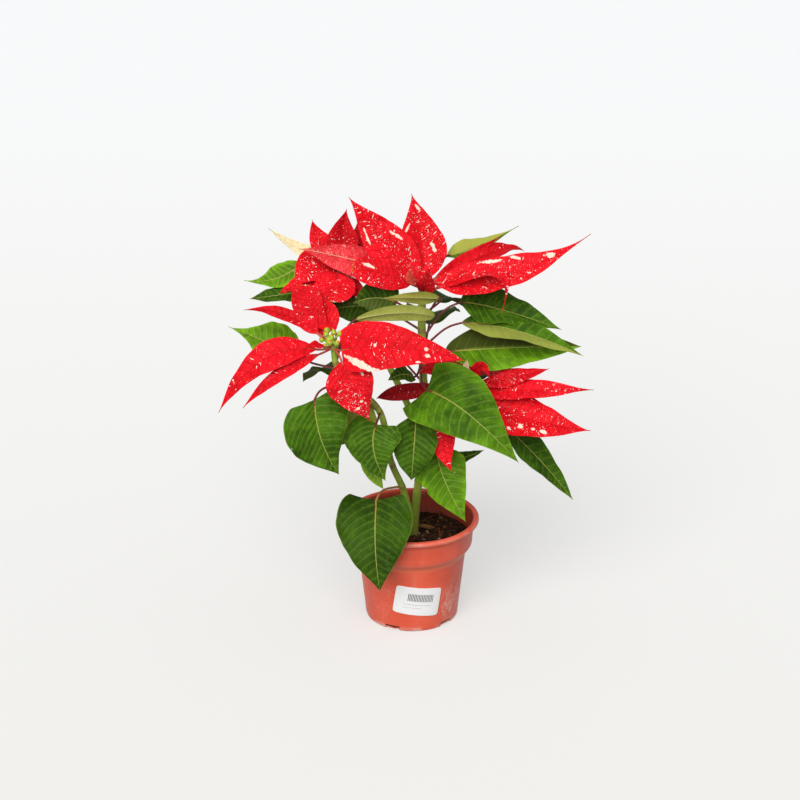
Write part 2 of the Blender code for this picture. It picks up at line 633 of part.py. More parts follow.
def main():
    clear_scene()
    collection = make_collection("poinsettia")
    notches = make_collection("notch cutters")
    cutters = make_collection("cutters")
    materials = {name: make_material(name, colour, 0.5) for name, colour in COLOURS.items()}
    made = {
        "pot": [make_pot(collection, notches)],
        "soil": [make_soil(collection, cutters)],
        "label": [make_label(collection)],
    }
    clear = tube_object("trunk clearance", smooth_path(STEMS["top"], 2), TRUNK_RADIUS + GAP, cutters, sides=2,
                        taper=0.8)
    hide_cutter(clear)
    made["stem"] = [make_stem("top", collection)]
    made["stem"] += [make_stem(name, collection, clear) for name in ("left", "right", "rear")]
    made["bract"] = [make_head(name, collection) for name in HEADS]
    made["buds"] = [make_buds(name, collection) for name in BUDS]
    for material, items in made.items():
        for item in items:
            item.data.materials.clear()
            item.data.materials.append(materials[material])


main()
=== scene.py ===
# %% [markdown]
# # A poinsettia in its nursery pot
#
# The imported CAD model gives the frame: where the pot stands and where every
# stem, leaf and bract goes. This lesson dresses it. Each leaf and bract becomes
# a thin curved sheet with veins and flecks, the pot gets its scuffed plastic,
# and the soil its crumbs.
#
# Lengths in the tables are millimetres, and a mesh is turned into metres when
# it is made.

import math
import random
from collections import namedtuple

import bmesh
import bpy
import numpy as np
from mathutils import Matrix


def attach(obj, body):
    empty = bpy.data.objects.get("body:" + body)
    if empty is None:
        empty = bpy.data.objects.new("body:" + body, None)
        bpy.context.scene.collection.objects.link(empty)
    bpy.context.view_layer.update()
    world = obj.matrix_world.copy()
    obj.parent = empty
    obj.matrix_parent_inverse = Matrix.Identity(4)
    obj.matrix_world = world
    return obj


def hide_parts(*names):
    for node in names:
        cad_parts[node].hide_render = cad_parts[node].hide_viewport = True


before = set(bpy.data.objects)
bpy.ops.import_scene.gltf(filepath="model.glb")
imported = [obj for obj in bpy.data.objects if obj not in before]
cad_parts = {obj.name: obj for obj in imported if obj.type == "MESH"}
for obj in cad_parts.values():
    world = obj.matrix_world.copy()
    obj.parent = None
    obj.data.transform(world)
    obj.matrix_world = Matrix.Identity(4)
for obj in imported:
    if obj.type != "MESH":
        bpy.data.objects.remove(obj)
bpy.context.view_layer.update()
MM = 0.001

# %% [markdown]
# ## Camera, floor and light
#
# The plant is seen from a little above, from about a metre and a half away. The
# camera is turned down by 21 degrees and isn't rolled, so its matrix can be
# written down from that one angle. The light is a pale sky with one very soft
# sun from the left and the front, which gives the faint shadow behind the pot.

# %% Camera
scene = bpy.context.scene
CAMERA_AT = (-0.01075, -1.35376, 0.73388)
PITCH = math.radians(21.3)
SINE, COSINE = math.sin(PITCH), math.cos(PITCH)
camera_data = bpy.data.cameras.new("camera")
camera_data.lens = 75.0
camera_data.sensor_width = 36.0
camera_data.clip_start = 0.01
camera = bpy.data.objects.new("camera", camera_data)
scene.collection.objects.link(camera)
turn = Matrix(((1, 0, 0), (0, SINE, -COSINE), (0, COSINE, SINE)))
camera.matrix_world = Matrix.Translation(CAMERA_AT) @ turn.to_4x4()
scene.camera = camera
scene.view_settings.view_transform = "Standard"
print("camera at", [round(v, 3) for v in camera.matrix_world.translation])

# %% Light
SKY_BELOW, SKY_ABOVE = 0.10, 0.50
SUN_WIDTH = 50.0
SUN_TURN = (50.0, -18.0, 0.0)
world = bpy.data.worlds.new("sky")
world.use_nodes = True
sky = world.node_tree.nodes["Background"]
sky.inputs["Color"].default_value = (0.96, 0.98, 1.0, 1.0)
direction = world.node_tree.nodes.new("ShaderNodeTexCoord")
split = world.node_tree.nodes.new("ShaderNodeSeparateXYZ")
fade = world.node_tree.nodes.new("ShaderNodeMapRange")
for key, value in {"From Min": -0.25, "From Max": 0.35, "To Min": SKY_BELOW, "To Max": SKY_ABOVE}.items():
    fade.inputs[key].default_value = value
world.node_tree.links.new(direction.outputs["Generated"], split.inputs[0])
world.node_tree.links.new(split.outputs["Z"], fade.inputs["Value"])
world.node_tree.links.new(fade.outputs["Result"], sky.inputs["Strength"])
scene.world = world
sun_data = bpy.data.lights.new("soft_sun", "SUN")
sun_data.energy = 3.1
sun_data.angle = math.radians(SUN_WIDTH)
sun_data.color = (1.0, 0.985, 0.96)
sun = bpy.data.objects.new("soft_sun", sun_data)
sun.rotation_euler = [math.radians(angle) for angle in SUN_TURN]
scene.collection.objects.link(sun)
print("light: a sky and a sun", SUN_WIDTH, "degrees wide")

# %% [markdown]
# ## A small language for finishes
#
# A finish in Blender is a graph of nodes. Drawn by hand it is hard to read, so
# here a socket is wrapped in a class with the usual operators, and `1 - mask`
# adds the Math node that does it. Everything else comes from one method, which
# takes the kind of node, its settings, and what goes into its sockets.

# %% Sockets that can be added and multiplied
def operator(operation, swapped=False):
    """A method that adds a Math node for an operator. Swapped, the wire comes second."""
    def method(wire, other):
        return wire.math(operation, *((other, wire) if swapped else (wire, other)))
    return method


class Wire:
    """One output of a node. Sums, products and powers of wires add Math nodes."""

    def __init__(self, finish, socket):
        self.finish = finish
        self.socket = socket

    def math(self, operation, *values):
        return self.finish.node("ShaderNodeMath", {"operation": operation}, values)

    __add__, __radd__ = operator("ADD"), operator("ADD", True)
    __sub__, __rsub__ = operator("SUBTRACT"), operator("SUBTRACT", True)
    __mul__, __rmul__ = operator("MULTIPLY"), operator("MULTIPLY", True)
    __truediv__, __pow__ = operator("DIVIDE"), operator("POWER")
    __gt__, __lt__ = operator("GREATER_THAN"), operator("LESS_THAN")
    high = operator("MAXIMUM")

    def size(self):
        return self.math("ABSOLUTE", self)

    def rest(self):
        return self.math("FRACT", self)

    def step(self, low, high):
        """0 below low, 1 above high, and a smooth rise between them."""
        settings = {"interpolation_type": "SMOOTHSTEP"}
        return self.finish.node("ShaderNodeMapRange", settings, (self, low, high, 0.0, 1.0))

    def fall(self, low, high):
        """1 below low and 0 above high."""
        return 1 - self.step(low, high)


# %% A material written as expressions
class Finish:
    """A material and its nodes. What its methods make are wires, ready for the next expression."""

    def __init__(self, name):
        self.material = bpy.data.materials.new(name)
        self.material.use_nodes = True
        self.tree = self.material.node_tree
        self.shader = self.tree.nodes["Principled BSDF"]
        print("finish:", name)

    def node(self, kind, settings=None, values=(), output=0):
        """A node of a kind, its settings first, then the values or wires of its inputs."""
        made = self.tree.nodes.new(kind)
        for key, value in (settings or {}).items():
            setattr(made, key, value)
        pairs = values.items() if isinstance(values, dict) else enumerate(values)
        for key, value in pairs:
            self.feed(made.inputs[key], value)
        return Wire(self, made.outputs[output])

    def feed(self, socket, value):
        if isinstance(value, Wire):
            self.tree.links.new(value.socket, socket)
        elif isinstance(value, tuple) and len(value) == 3 and socket.type == "RGBA":
            socket.default_value = (*value, 1.0)
        else:
            socket.default_value = value

    def set(self, **values):
        """Give the shader its values or wires. An underscore stands for a space."""
        for key, value in values.items():
            self.feed(self.shader.inputs[key.replace("_", " ")], value)

    def place(self):
        return self.node("ShaderNodeTexCoord", {}, (), "Object")

    def attribute(self, name, output="Vector"):
        return self.node("ShaderNodeAttribute", {"attribute_name": name}, (), output)

    def parts(self, vector):
        """The three numbers of a vector."""
        made = self.tree.nodes.new("ShaderNodeSeparateXYZ")
        self.feed(made.inputs[0], vector)
        return [Wire(self, output) for output in made.outputs]

    def vector(self, x, y, z):
        return self.node("ShaderNodeCombineXYZ", {}, (x, y, z))

    def scaled(self, vector, factors):
        return self.node("ShaderNodeVectorMath", {"operation": "MULTIPLY"}, (vector, factors))

    def noise(self, vector, scale, detail=3.0, roughness=0.5, twist=0.0):
        values = {"Vector": vector, "Scale": scale, "Detail": detail, "Roughness": roughness,
                  "Distortion": twist}
        return self.node("ShaderNodeTexNoise", {}, values)

    def cells(self, vector, scale, feature="F1", output="Distance"):
        values = {"Vector": vector, "Scale": scale}
        return self.node("ShaderNodeTexVoronoi", {"feature": feature}, values, output)

    def spots(self, vector, scale, share, radius):
        """Spots in a share of the cells of a pattern. They reach up to a radius, in cells."""
        luck, growth = self.parts(self.cells(vector, scale, output="Color"))[:2]
        reach = (0.45 + 0.55 * growth) * radius
        return (luck < share) * (self.cells(vector, scale) / reach).fall(0.65, 1.0)

    def mix(self, factor, first, second):
        """A colour between two colours."""
        return self.node("ShaderNodeMix", {"data_type": "RGBA"}, {0: factor, 6: first, 7: second}, 2)

    def paint(self, colour, *layers):
        """A colour with others laid over it in turn, each through its mask."""
        for mask, over in layers:
            colour = self.mix(mask, colour, over)
        return colour

    def bump(self, height, depth, strength=1.0):
        """Relief of a depth in metres from a height of 0 to 1."""
        values = {"Strength": strength, "Distance": depth, "Height": height}
        return self.node("ShaderNodeBump", {}, values)


# %% [markdown]
# The floor is a wide pale sheet. Its tone drifts a little with distance, as
# paper does under a studio light. Half of its light is its own, as on a sheet
# lit from below, so shadows on it stay faint. It is left out of diffuse rays: it
# throws no light back up, and the undersides of the leaves stay dark.

# %% Floor
paper = Finish("studio_floor")
away = paper.parts(paper.place())[1]
drift = away.step(-0.9, 2.5)
tone = paper.mix(drift, (0.87, 0.862, 0.838), (0.93, 0.935, 0.945))
paper.set(Base_Color=paper.mix(0.55, tone, (0.0, 0.0, 0.0)), Roughness=0.75, Specular_IOR_Level=0.2,
          Emission_Color=tone, Emission_Strength=0.53)
floor_mesh = bpy.data.meshes.new("studio_floor")
FLOOR = 9.0
floor_corners = [(-FLOOR, -FLOOR, 0), (FLOOR, -FLOOR, 0), (FLOOR, FLOOR, 0), (-FLOOR, FLOOR, 0)]
floor_mesh.from_pydata(floor_corners, [], [(0, 1, 2, 3)])
floor_mesh.materials.append(paper.material)
floor = bpy.data.objects.new("studio_floor", floor_mesh)
scene.collection.objects.link(floor)
floor.visible_diffuse = False
print("floor:", 2 * FLOOR, "m wide")

# %% [markdown]
# ## From arrays to pieces
#
# A new piece is an array of points in millimetres and lists of faces. Values
# that the finishes read, such as the distance from a vein, are stored on the
# points as attributes.

# %% Pieces
made_pieces = []


def piece(name, points, faces, finish, nodes, stored=None, maps=None, crease=55.0):
    """A mesh object from points in millimetres, riding on the frame in place of its CAD nodes."""
    mesh = bpy.data.meshes.new(name)
    mesh.from_pydata((np.asarray(points, float) * MM).tolist(), [], faces)
    for key, values in (stored or {}).items():
        kind = "FLOAT_VECTOR" if values.ndim == 2 else "FLOAT"
        field = "vector" if values.ndim == 2 else "value"
        layer = mesh.attributes.new(key, kind, "POINT")
        layer.data.foreach_set(field, values.astype(np.float32).ravel())
    for key, corners in (maps or {}).items():
        mesh.uv_layers.new(name=key).data.foreach_set("uv", corners.astype(np.float32).ravel())
    mesh.polygons.foreach_set("use_smooth", np.ones(len(mesh.polygons), bool))
    mesh.set_sharp_from_angle(angle=math.radians(crease))
    mesh.materials.append(finish.material)
    item = bpy.data.objects.new(name, mesh)
    scene.collection.objects.link(item)
    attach(item, "root")
    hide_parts(*nodes)
    made_pieces.append(item)
    return item


def grid_faces(rows, columns, first=0, wrap=False):
    """Quads of a grid of points numbered row by row. With wrap, the last column joins the first."""
    row = np.arange(rows - 1)[:, None] * columns
    column = np.arange(columns if wrap else columns - 1)[None, :]
    after = (column + 1) % columns
    corners = (row + column, row + after, row + columns + after, row + columns + column)
    return first + np.stack(np.broadcast_arrays(*corners), -1).reshape(-1, 4)


def closed_faces(rows, columns):
    """Faces of a closed shape of rings: quads between the rings, and a cap at each end."""
    last = (rows - 1) * columns
    caps = [list(range(columns))[::-1], list(range(last, last + columns))]
    return grid_faces(rows, columns, wrap=True).tolist() + caps


def circle(steps):
    """Angles once round, as one row."""
    return np.linspace(0.0, 2.0 * math.pi, steps, endpoint=False)[None, :]


def rotated(x, y, angle):
    """Coordinates turned by an angle: x cos - y sin, and x sin + y cos."""
    return x * np.cos(angle) - y * np.sin(angle), x * np.sin(angle) + y * np.cos(angle)


def unit(vectors):
    return vectors / np.maximum(np.linalg.norm(vectors, axis=-1, keepdims=True), 1e-12)


def stack(shapes):
    """Several (points, faces, values) joined into one, with the face numbers moved on."""
    points, faces, values, first = [], [], [], 0
    for shape_points, shape_faces, shape_values in shapes:
        points.append(shape_points)
        faces += [[corner + first for corner in face] for face in shape_faces]
        values.append(shape_values)
        first += len(shape_points)
    return np.concatenate(points), faces, np.concatenate(values)


# %% [markdown]
# ## The pot
#
# The pot is blown from thin terracotta-coloured plastic: a tapered wall, a
# wider collar that the pots above it would rest on, and a rolled lip. It is a
# turned shape, so a profile of radius and height is carried round the axis.
# The corners of moulded plastic are never sharp, and rounding them in the
# profile gives the thin highlights along the lip.

# %% Pot profile
COLLAR_FOOT = 69.0
BASE_RADIUS = 41.5
WALL_RADIUS = 49.0
POT_WALL = 1.2


def wall_radius(z):
    """Outside radius of the lower wall at a height."""
    return BASE_RADIUS + (WALL_RADIUS - BASE_RADIUS) * z / COLLAR_FOOT


INNER_WALL = tuple((wall_radius(z) - POT_WALL, z) for z in (1.8, 5.4, 8.0, 68.5))
OUTER_WALL = tuple((wall_radius(z), z) for z in (61.5, 8.0, 5.4))
POT_PROFILE = (
    (0.3, 1.8), *INNER_WALL, (49.6, 70.2), (52.8, 70.8), (54.3, 91.5), (54.9, 95.2), (56.3, 96.0),
    (58.8, 95.7), (60.0, 94.6), (60.0, 92.5), (59.0, 91.5), (55.5, 91.1), (54.1, 72.2), (53.6, 70.6),
    (52.2, 68.6), (50.2, 66.2), (49.0, 64.4), *OUTER_WALL, (41.7, 1.0), (40.7, 0.0), (0.3, 0.0),
)


def rounded(profile, radius, steps=4):
    """A profile with each corner swapped for a small parabola, from radius before to radius after it."""
    line = np.array(profile, float)
    corner, before, after = line[1:-1], line[:-2], line[2:]
    back, ahead = before - corner, after - corner
    reach_back = np.minimum(radius, 0.45 * np.linalg.norm(back, axis=1))[:, None]
    reach_ahead = np.minimum(radius, 0.45 * np.linalg.norm(ahead, axis=1))[:, None]
    start, end = corner + unit(back) * reach_back, corner + unit(ahead) * reach_ahead
    u = np.linspace(0.0, 1.0, steps)[None, :, None]
    bends = start[:, None] * (1 - u) ** 2 + 2 * corner[:, None] * u * (1 - u) + end[:, None] * u * u
    return np.concatenate((line[:1], bends.reshape(-1, 2), line[-1:]))


def turned(profile, steps):
    """Points of a profile (r, z) carried round the axis, at x = r sin a and y = -r cos a."""
    angle, r, z = circle(steps), profile[:, :1], profile[:, 1:]
    return np.stack(np.broadcast_arrays(r * np.sin(angle), -r * np.cos(angle), z), -1).reshape(-1, 3)


# %% Scuffed terracotta plastic
def plastic_finish():
    skin = Finish("scuffed_terracotta_plastic")
    place = skin.place()
    x, y, z = skin.parts(place)
    across = (x * x + y * y) ** 0.5
    rings = skin.noise(skin.scaled(place, (6.0, 6.0, 420.0)), 1.0, 2.0)
    smear = skin.noise(skin.scaled(place, (30.0, 30.0, 11.0)), 1.0, 5.0, 0.62, 0.8)
    smear = smear.step(0.56, 0.74) * (0.06 + 0.7 * z.fall(0.0, 0.085))
    scratch = skin.noise(skin.scaled(place, (60.0, 60.0, 210.0)), 2.2, 3.0, 0.5, 2.5)
    scratch = scratch.step(0.655, 0.69) * skin.noise(place, 40.0).step(0.5, 0.62)
    heel = (((x - 0.036) ** 2.0 + (z - 0.022) * (z - 0.022) * 0.4) ** 0.5).fall(0.004, 0.017)
    rubbed = skin.noise(skin.scaled(place, (160.0, 160.0, 60.0)), 1.0, 5.0, 0.65, 1.5)
    heel = heel * y.fall(-0.02, -0.005) * rubbed.step(0.46, 0.66)
    worn = skin.noise(place, 90.0, 4.0)
    lip = across.step(0.0575, 0.0598) * z.step(0.088, 0.092) * (0.15 + 0.6 * worn.step(0.4, 0.7))
    foot = z.fall(0.0, 0.006) * worn.step(0.42, 0.6)
    # Painted light: the ledge under the collar faces down, and the brighter orange painted on it stands in for the
    # light bounced up from the floor.
    ledge_painted_light = z.step(0.0600, 0.0650) * z.fall(0.0700, 0.0725)
    # Painted shade: the inside wall above the soil is painted in a much darker copy of the plastic's red, as it
    # lies in shade, with lighter blotches, and darker still towards the soil.
    inside_mottle = skin.noise(place, 60.0, 5.0, 0.6)
    inner = skin.paint((0.13, 0.016, 0.008), (inside_mottle.step(0.4, 0.65), (0.22, 0.032, 0.016)),
                       (z.fall(0.074, 0.088) * inside_mottle.step(0.35, 0.6), (0.05, 0.022, 0.013)))
    inside = z.step(0.0698, 0.0702) * (across - 0.0545 - (z - 0.0915) * 0.07).fall(-0.0006, 0.0006)
    colour = skin.paint(
        (0.74, 0.085, 0.036), (skin.noise(place, 28.0, 4.0).step(0.35, 0.7), (0.84, 0.118, 0.056)),
        (rings.step(0.45, 0.75) * 0.22, (0.88, 0.17, 0.10)), (smear, (0.78, 0.36, 0.27)),
        (scratch * 0.75, (0.90, 0.66, 0.58)), (heel * 0.6, (0.88, 0.60, 0.52)), (lip, (0.78, 0.27, 0.20)),
        (foot * 0.6, (0.80, 0.62, 0.52)), (ledge_painted_light * 0.75, (1.0, 0.20, 0.085)), (inside, inner))
    relief = rings * 0.4 + skin.noise(place, 900.0, 2.0) * 0.35 + scratch * 0.6
    skin.set(Base_Color=colour, Roughness=0.36 + 0.16 * worn + 0.2 * smear,
             Normal=skin.bump(relief, 0.00025, 0.6), Specular_IOR_Level=0.45)
    return skin


# %% Pot
NOTCH_COUNT = 5
NOTCH_FIRST = -25.0
NOTCH_RADIUS = 42.1
POT_STEPS = 192


def notch_block():
    """One mesh of five blocks that cut the drain notches out of the foot, each about 15 wide."""
    azimuth = np.radians(NOTCH_FIRST + np.arange(NOTCH_COUNT) * 360.0 / NOTCH_COUNT)[:, None]
    across = np.array((-8.0, 8.0, 7.0, -7.0) * 2) * 0.94
    out = NOTCH_RADIUS + np.repeat((-3.0, 3.0), 4)
    height = np.array((-4.0, -4.0, 4.5, 4.5) * 2)
    x = np.sin(azimuth) * out + np.cos(azimuth) * across
    y = -np.cos(azimuth) * out + np.sin(azimuth) * across
    points = np.stack((x, y, np.broadcast_to(height, x.shape)), -1).reshape(-1, 3)
    sides = ((0, 1, 2, 3), (7, 6, 5, 4), (0, 4, 5, 1), (1, 5, 6, 2), (2, 6, 7, 3), (3, 7, 4, 0))
    faces = [[8 * index + corner for corner in face] for index in range(NOTCH_COUNT) for face in sides]
    mesh = bpy.data.meshes.new("notches")
    mesh.from_pydata((points * MM).tolist(), [], faces)
    shape = bmesh.new()
    shape.from_mesh(mesh)
    bmesh.ops.recalc_face_normals(shape, faces=shape.faces[:])
    shape.to_mesh(mesh)
    shape.free()
    block = bpy.data.objects.new("notches", mesh)
    scene.collection.objects.link(block)
    return block


profile = rounded(POT_PROFILE, 0.7)
pot_faces = [face[::-1] for face in closed_faces(len(profile), POT_STEPS)]
pot = piece("pot_shell", turned(profile, POT_STEPS), pot_faces, plastic_finish(), ["pot"],
            crease=40.0)
cutter = notch_block()
cut = pot.modifiers.new("Notches", "BOOLEAN")
cut.object = cutter
cut.solver = "EXACT"
cut_mesh = bpy.data.meshes.new_from_object(pot.evaluated_get(bpy.context.evaluated_depsgraph_get()))
pot.modifiers.clear()
pot.data = cut_mesh
bpy.data.objects.remove(cutter)
print("pot:", len(pot.data.polygons), "faces")

# %% [markdown]
# ## The soil
#
# Potting soil is peat with bark and fibres. The bulk is one lumpy surface that
# fills the pot, worked out from a sum of waves in random directions. Crumbs and
# fibres lie on it: hundreds of small shapes, each with a few faces, made from
# one block of arrays. One dry, curled scrap of leaf has dropped on it.

# %% Soil surface
SOIL_TOP = 77.0
SOIL_RADIUS = 52.2
SOIL_SIDES = ((SOIL_RADIUS, 71.3), (49.2, 70.9), (47.4, 68.6), (40.2, 2.2), (0.3, 2.2))


def waves(x, y, rng, count, longest, shortest):
    """A sum of sine waves of random length, direction and phase, each as high as it is long."""
    length = longest * (shortest / longest) ** rng.random(count)
    angle, phase = rng.random((2, count)) * 2.0 * math.pi
    k = 2.0 * math.pi / length
    flat = x[..., None] * np.cos(angle) * k + y[..., None] * np.sin(angle) * k + phase
    return (np.sin(flat) * length).sum(-1) / longest / math.sqrt(count)


def soil_height(x, y):
    """Height of the soil: level, with lumps, and a little lower against the wall."""
    r = np.hypot(x, y) / SOIL_RADIUS
    rng = np.random.default_rng(5)
    lumps = waves(x, y, rng, 60, 30.0, 3.5)
    return SOIL_TOP - 1.0 + 3.4 * np.clip(lumps, -0.75, 0.75) * (1 - 0.6 * r ** 6) - 1.2 * r ** 8


def soil_shape():
    rings, steps = 70, 180
    r, a = SOIL_RADIUS * np.linspace(0.006, 1.0, rings)[:, None], circle(steps)
    x, y = r * np.cos(a), r * np.sin(a)
    parts = [np.stack((x, y, soil_height(x, y)), -1)]
    parts += [np.stack((radius * np.cos(a), radius * np.sin(a), np.full_like(a, z)), -1)
              for radius, z in SOIL_SIDES]
    points = np.concatenate(parts).reshape(-1, 3)
    faces = [face[::-1] for face in closed_faces(rings + len(SOIL_SIDES), steps)]
    return points, faces, np.zeros(len(points))


# %% Crumbs and fibres
BALL = np.array([(0, 0, -1), (.72, -.53, -.45), (-.28, -.85, -.45), (-.89, 0, -.45), (-.28, .85, -.45),
                 (.72, .53, -.45), (.28, -.85, .45), (-.72, -.53, .45), (-.72, .53, .45), (.28, .85, .45),
                 (.89, 0, .45), (0, 0, 1)])
BALL_FACES = np.array([(0, 1, 2), (1, 0, 5), (0, 2, 3), (0, 3, 4), (0, 4, 5), (1, 5, 10), (2, 1, 6), (3, 2, 7),
                       (4, 3, 8), (5, 4, 9), (1, 10, 6), (2, 6, 7), (3, 7, 8), (4, 8, 9), (5, 9, 10), (6, 10, 11),
                       (7, 6, 11), (8, 7, 11), (9, 8, 11), (10, 9, 11)])[:, ::-1]


def scattered(rng, count, radius):
    """Places spread evenly over a disc: the root of a random number gives the distance from its middle."""
    r = radius * np.sqrt(rng.random(count))
    a = rng.random(count) * 2.0 * math.pi
    return r * np.cos(a), r * np.sin(a)


CRUMBS, FIBRES = 900, 170


def crumb_shape(count):
    """Small uneven balls pressed into the surface. Their value rises from soil to bark and pale bits, at 1."""
    rng = np.random.default_rng(11)
    x, y = scattered(rng, count, 50.5)
    size = 0.5 + 2.1 * rng.random(count) ** 3
    corners = len(BALL)
    shape = BALL[None] * (0.6 + 0.8 * rng.random((count, corners, 1)))
    shape = shape * size[:, None, None] * (0.7 + 0.6 * rng.random((count, 1, 3)))
    spin = rng.random(count) * 2.0 * math.pi
    x_turned, y_turned = rotated(shape[..., 0], shape[..., 1], spin[:, None])
    z = soil_height(x, y) + 0.25 * size
    points = np.stack((x_turned + x[:, None], y_turned + y[:, None], shape[..., 2] + z[:, None]), -1)
    faces = (BALL_FACES[None] + corners * np.arange(count)[:, None, None]).reshape(-1, 3)
    return points.reshape(-1, 3), faces.tolist(), np.repeat(rng.random(count), corners)


def fibre_shape(count):
    """Curled threads of root and bark that lie on the surface: a bent line with a square section."""
    rings, sides = 7, 4
    rng = np.random.default_rng(23)
    middle_x, middle_y = scattered(rng, count, 44.0)
    heading = rng.random(count) * 2.0 * math.pi
    length = 3.0 + 9.0 * rng.random(count) ** 2
    curl = (rng.random(count) - 0.5) * 3.0
    u = np.linspace(-0.5, 0.5, rings)[None, :]
    angle = heading[:, None] + curl[:, None] * u
    x = middle_x[:, None] + length[:, None] * u * np.cos(angle)
    y = middle_y[:, None] + length[:, None] * u * np.sin(angle)
    z = soil_height(x, y) + 0.35 + 0.7 * rng.random((count, 1)) * (0.25 - u * u) * 4
    thick = (0.12 + 0.22 * rng.random((count, 1))) * (1.0 - 1.6 * u * u)
    square = np.array(((1, 0), (0, 1), (-1, 0), (0, -1)), float)
    points = np.stack((x[..., None] + thick[..., None] * -np.sin(angle)[..., None] * square[:, 0],
                       y[..., None] + thick[..., None] * np.cos(angle)[..., None] * square[:, 0],
                       z[..., None] + thick[..., None] * square[:, 1]), -1)
    faces = np.array(closed_faces(rings, sides))[None] + rings * sides * np.arange(count)[:, None, None]
    kind = np.repeat(1.0 + 0.9 * rng.random(count), rings * sides)
    return points.reshape(-1, 3), faces.reshape(-1, sides).tolist(), kind


def scrap_shape():
    """A dry, curled bit of leaf on the soil: a ball pressed flat and bent up along its length."""
    around, along = 20, 15
    a, b = circle(around), np.linspace(0.02, math.pi - 0.02, along)[:, None]
    x, y, z = -9.0 * np.cos(b), 4.2 * np.sin(b) * np.cos(a), 0.35 * np.sin(b) * np.sin(a)
    x = np.broadcast_to(x, y.shape)
    z = z + 0.03 * x * x + 0.10 * y * y + 0.3 * np.sin(1.3 * x + y)
    x, y = rotated(x, y, math.radians(-28.0))
    points = np.stack((13.0 + x, 10.5 + y, SOIL_TOP + 0.2 + z), -1).reshape(-1, 3)
    return points, closed_faces(along, around), np.full(len(points), 3.0)


# %% Crumbly soil
def soil_finish():
    """The kind is up to 1 for soil and crumbs, 1 to 2 for fibres, and 3 for the scrap of leaf."""
    earth = Finish("crumbly_peat")
    place = earth.place()
    kind = earth.attribute("kind", "Fac")
    grain = earth.noise(place, 420.0, 5.0, 0.65)
    patch = earth.noise(place, 60.0, 4.0)
    crumb = 1 - (kind > 0.999)
    tan = earth.mix(patch.step(0.40, 0.62), (0.06, 0.022, 0.006), (0.20, 0.095, 0.022))
    colour = earth.paint(
        (0.008, 0.0035, 0.0015), (grain.step(0.35, 0.7), (0.045, 0.018, 0.007)),
        (patch.step(0.52, 0.68) * 0.6, (0.10, 0.042, 0.014)),
        (kind.step(0.55, 0.75) * kind.fall(0.93, 0.97) * crumb, (0.12, 0.040, 0.014)),
        (kind.step(0.965, 0.975) * crumb * 0.8, (0.30, 0.20, 0.12)),
        ((kind > 1.0) * (0.4 + 0.5 * grain), (0.22, 0.07, 0.03)), (kind > 2.5, tan))
    relief = grain + earth.noise(place, 1400.0, 3.0) * 0.5
    earth.set(Base_Color=colour, Roughness=0.72 + 0.2 * grain, Normal=earth.bump(relief, 0.0008),
              Specular_IOR_Level=0.15)
    return earth


soil_parts = (soil_shape(), crumb_shape(CRUMBS), fibre_shape(FIBRES), scrap_shape())
soil_points, soil_faces, soil_kind = stack(soil_parts)
soil = piece("soil_bed", soil_points, soil_faces, soil_finish(), ["soil"], {"kind": soil_kind},
             crease=180.0)
print("soil:", len(soil.data.polygons), "faces, up to z", round(soil_points[:, 2].max(), 1), "mm")

# %% [markdown]
# ## The sticker
#
# A small white paper label is stuck a little crooked on the wall. Its outline
# is a rectangle with round corners, wrapped round the cone of the wall. What is
# printed on it stays generic: a band of even bars and two plain rules.

# %% Sticker
LABEL_SIZE = (42.0, 28.6)
LABEL_CENTRE_Z = 32.0
LABEL_AZIMUTH = math.radians(6.0)
LABEL_TURN = math.radians(-8.0)
LABEL_STEPS = 96


def sticker_shape():
    """Rings that shrink to the middle of a rounded rectangle: (c, s) times (|c|^14 + |s|^14) ^ (-1/14)."""
    a = circle(LABEL_STEPS)
    ring = np.concatenate((np.linspace(0.02, 0.96, 16), (1.0, 1.0, 0.96), np.linspace(0.9, 0.02, 10)))[:, None]
    lift = np.concatenate((np.full(16, 0.24), (0.2, 0.06, 0.03), np.full(10, 0.03)))[:, None]
    square = (np.abs(np.cos(a)) ** 14 + np.abs(np.sin(a)) ** 14) ** (-1.0 / 14)
    u, v = ring * np.cos(a) * square, ring * np.sin(a) * square
    along, height = rotated(0.5 * LABEL_SIZE[0] * u, 0.5 * LABEL_SIZE[1] * v, LABEL_TURN)
    height = height + LABEL_CENTRE_Z
    peel = 0.5 * np.clip(u * v - 0.75, 0.0, 1.0)
    radius = wall_radius(height) + 0.25 + lift + peel
    azimuth = LABEL_AZIMUTH + along / radius
    points = np.stack((radius * np.sin(azimuth), -radius * np.cos(azimuth), height), -1).reshape(-1, 3)
    printed = np.stack((0.5 + 0.5 * u, 0.5 + 0.5 * v, np.broadcast_to(lift, u.shape)), -1).reshape(-1, 3)
    return points, closed_faces(len(ring), LABEL_STEPS), printed


def sticker_finish():
    card = Finish("white_sticker_paper")
    u, v = card.parts(card.attribute("printed"))[:2]
    fibre = card.noise(card.place(), 700.0, 3.0)
    bars = ((u * 30.0).rest() > 0.48) * (u > 0.27) * (u < 0.83) * (v > 0.50) * (v < 0.76)
    rule = (v > 0.355) * (v < 0.375) * (u > 0.2) * (u < 0.82)
    rule = rule + (v > 0.245) * (v < 0.262) * (u > 0.2) * (u < 0.62)
    colour = card.paint((0.93, 0.93, 0.93), (fibre.step(0.3, 0.7), (0.97, 0.97, 0.975)),
                        (bars, (0.04, 0.04, 0.045)), (rule * 0.55, (0.35, 0.35, 0.36)))
    card.set(Base_Color=colour, Roughness=0.5 + 0.1 * fibre, Normal=card.bump(fibre, 0.00004))
    return card


label_points, label_faces, printed = sticker_shape()
label = piece("price_sticker", label_points, label_faces, sticker_finish(), ["label"],
              {"printed": printed})
print("sticker:", len(label.data.polygons), "faces")

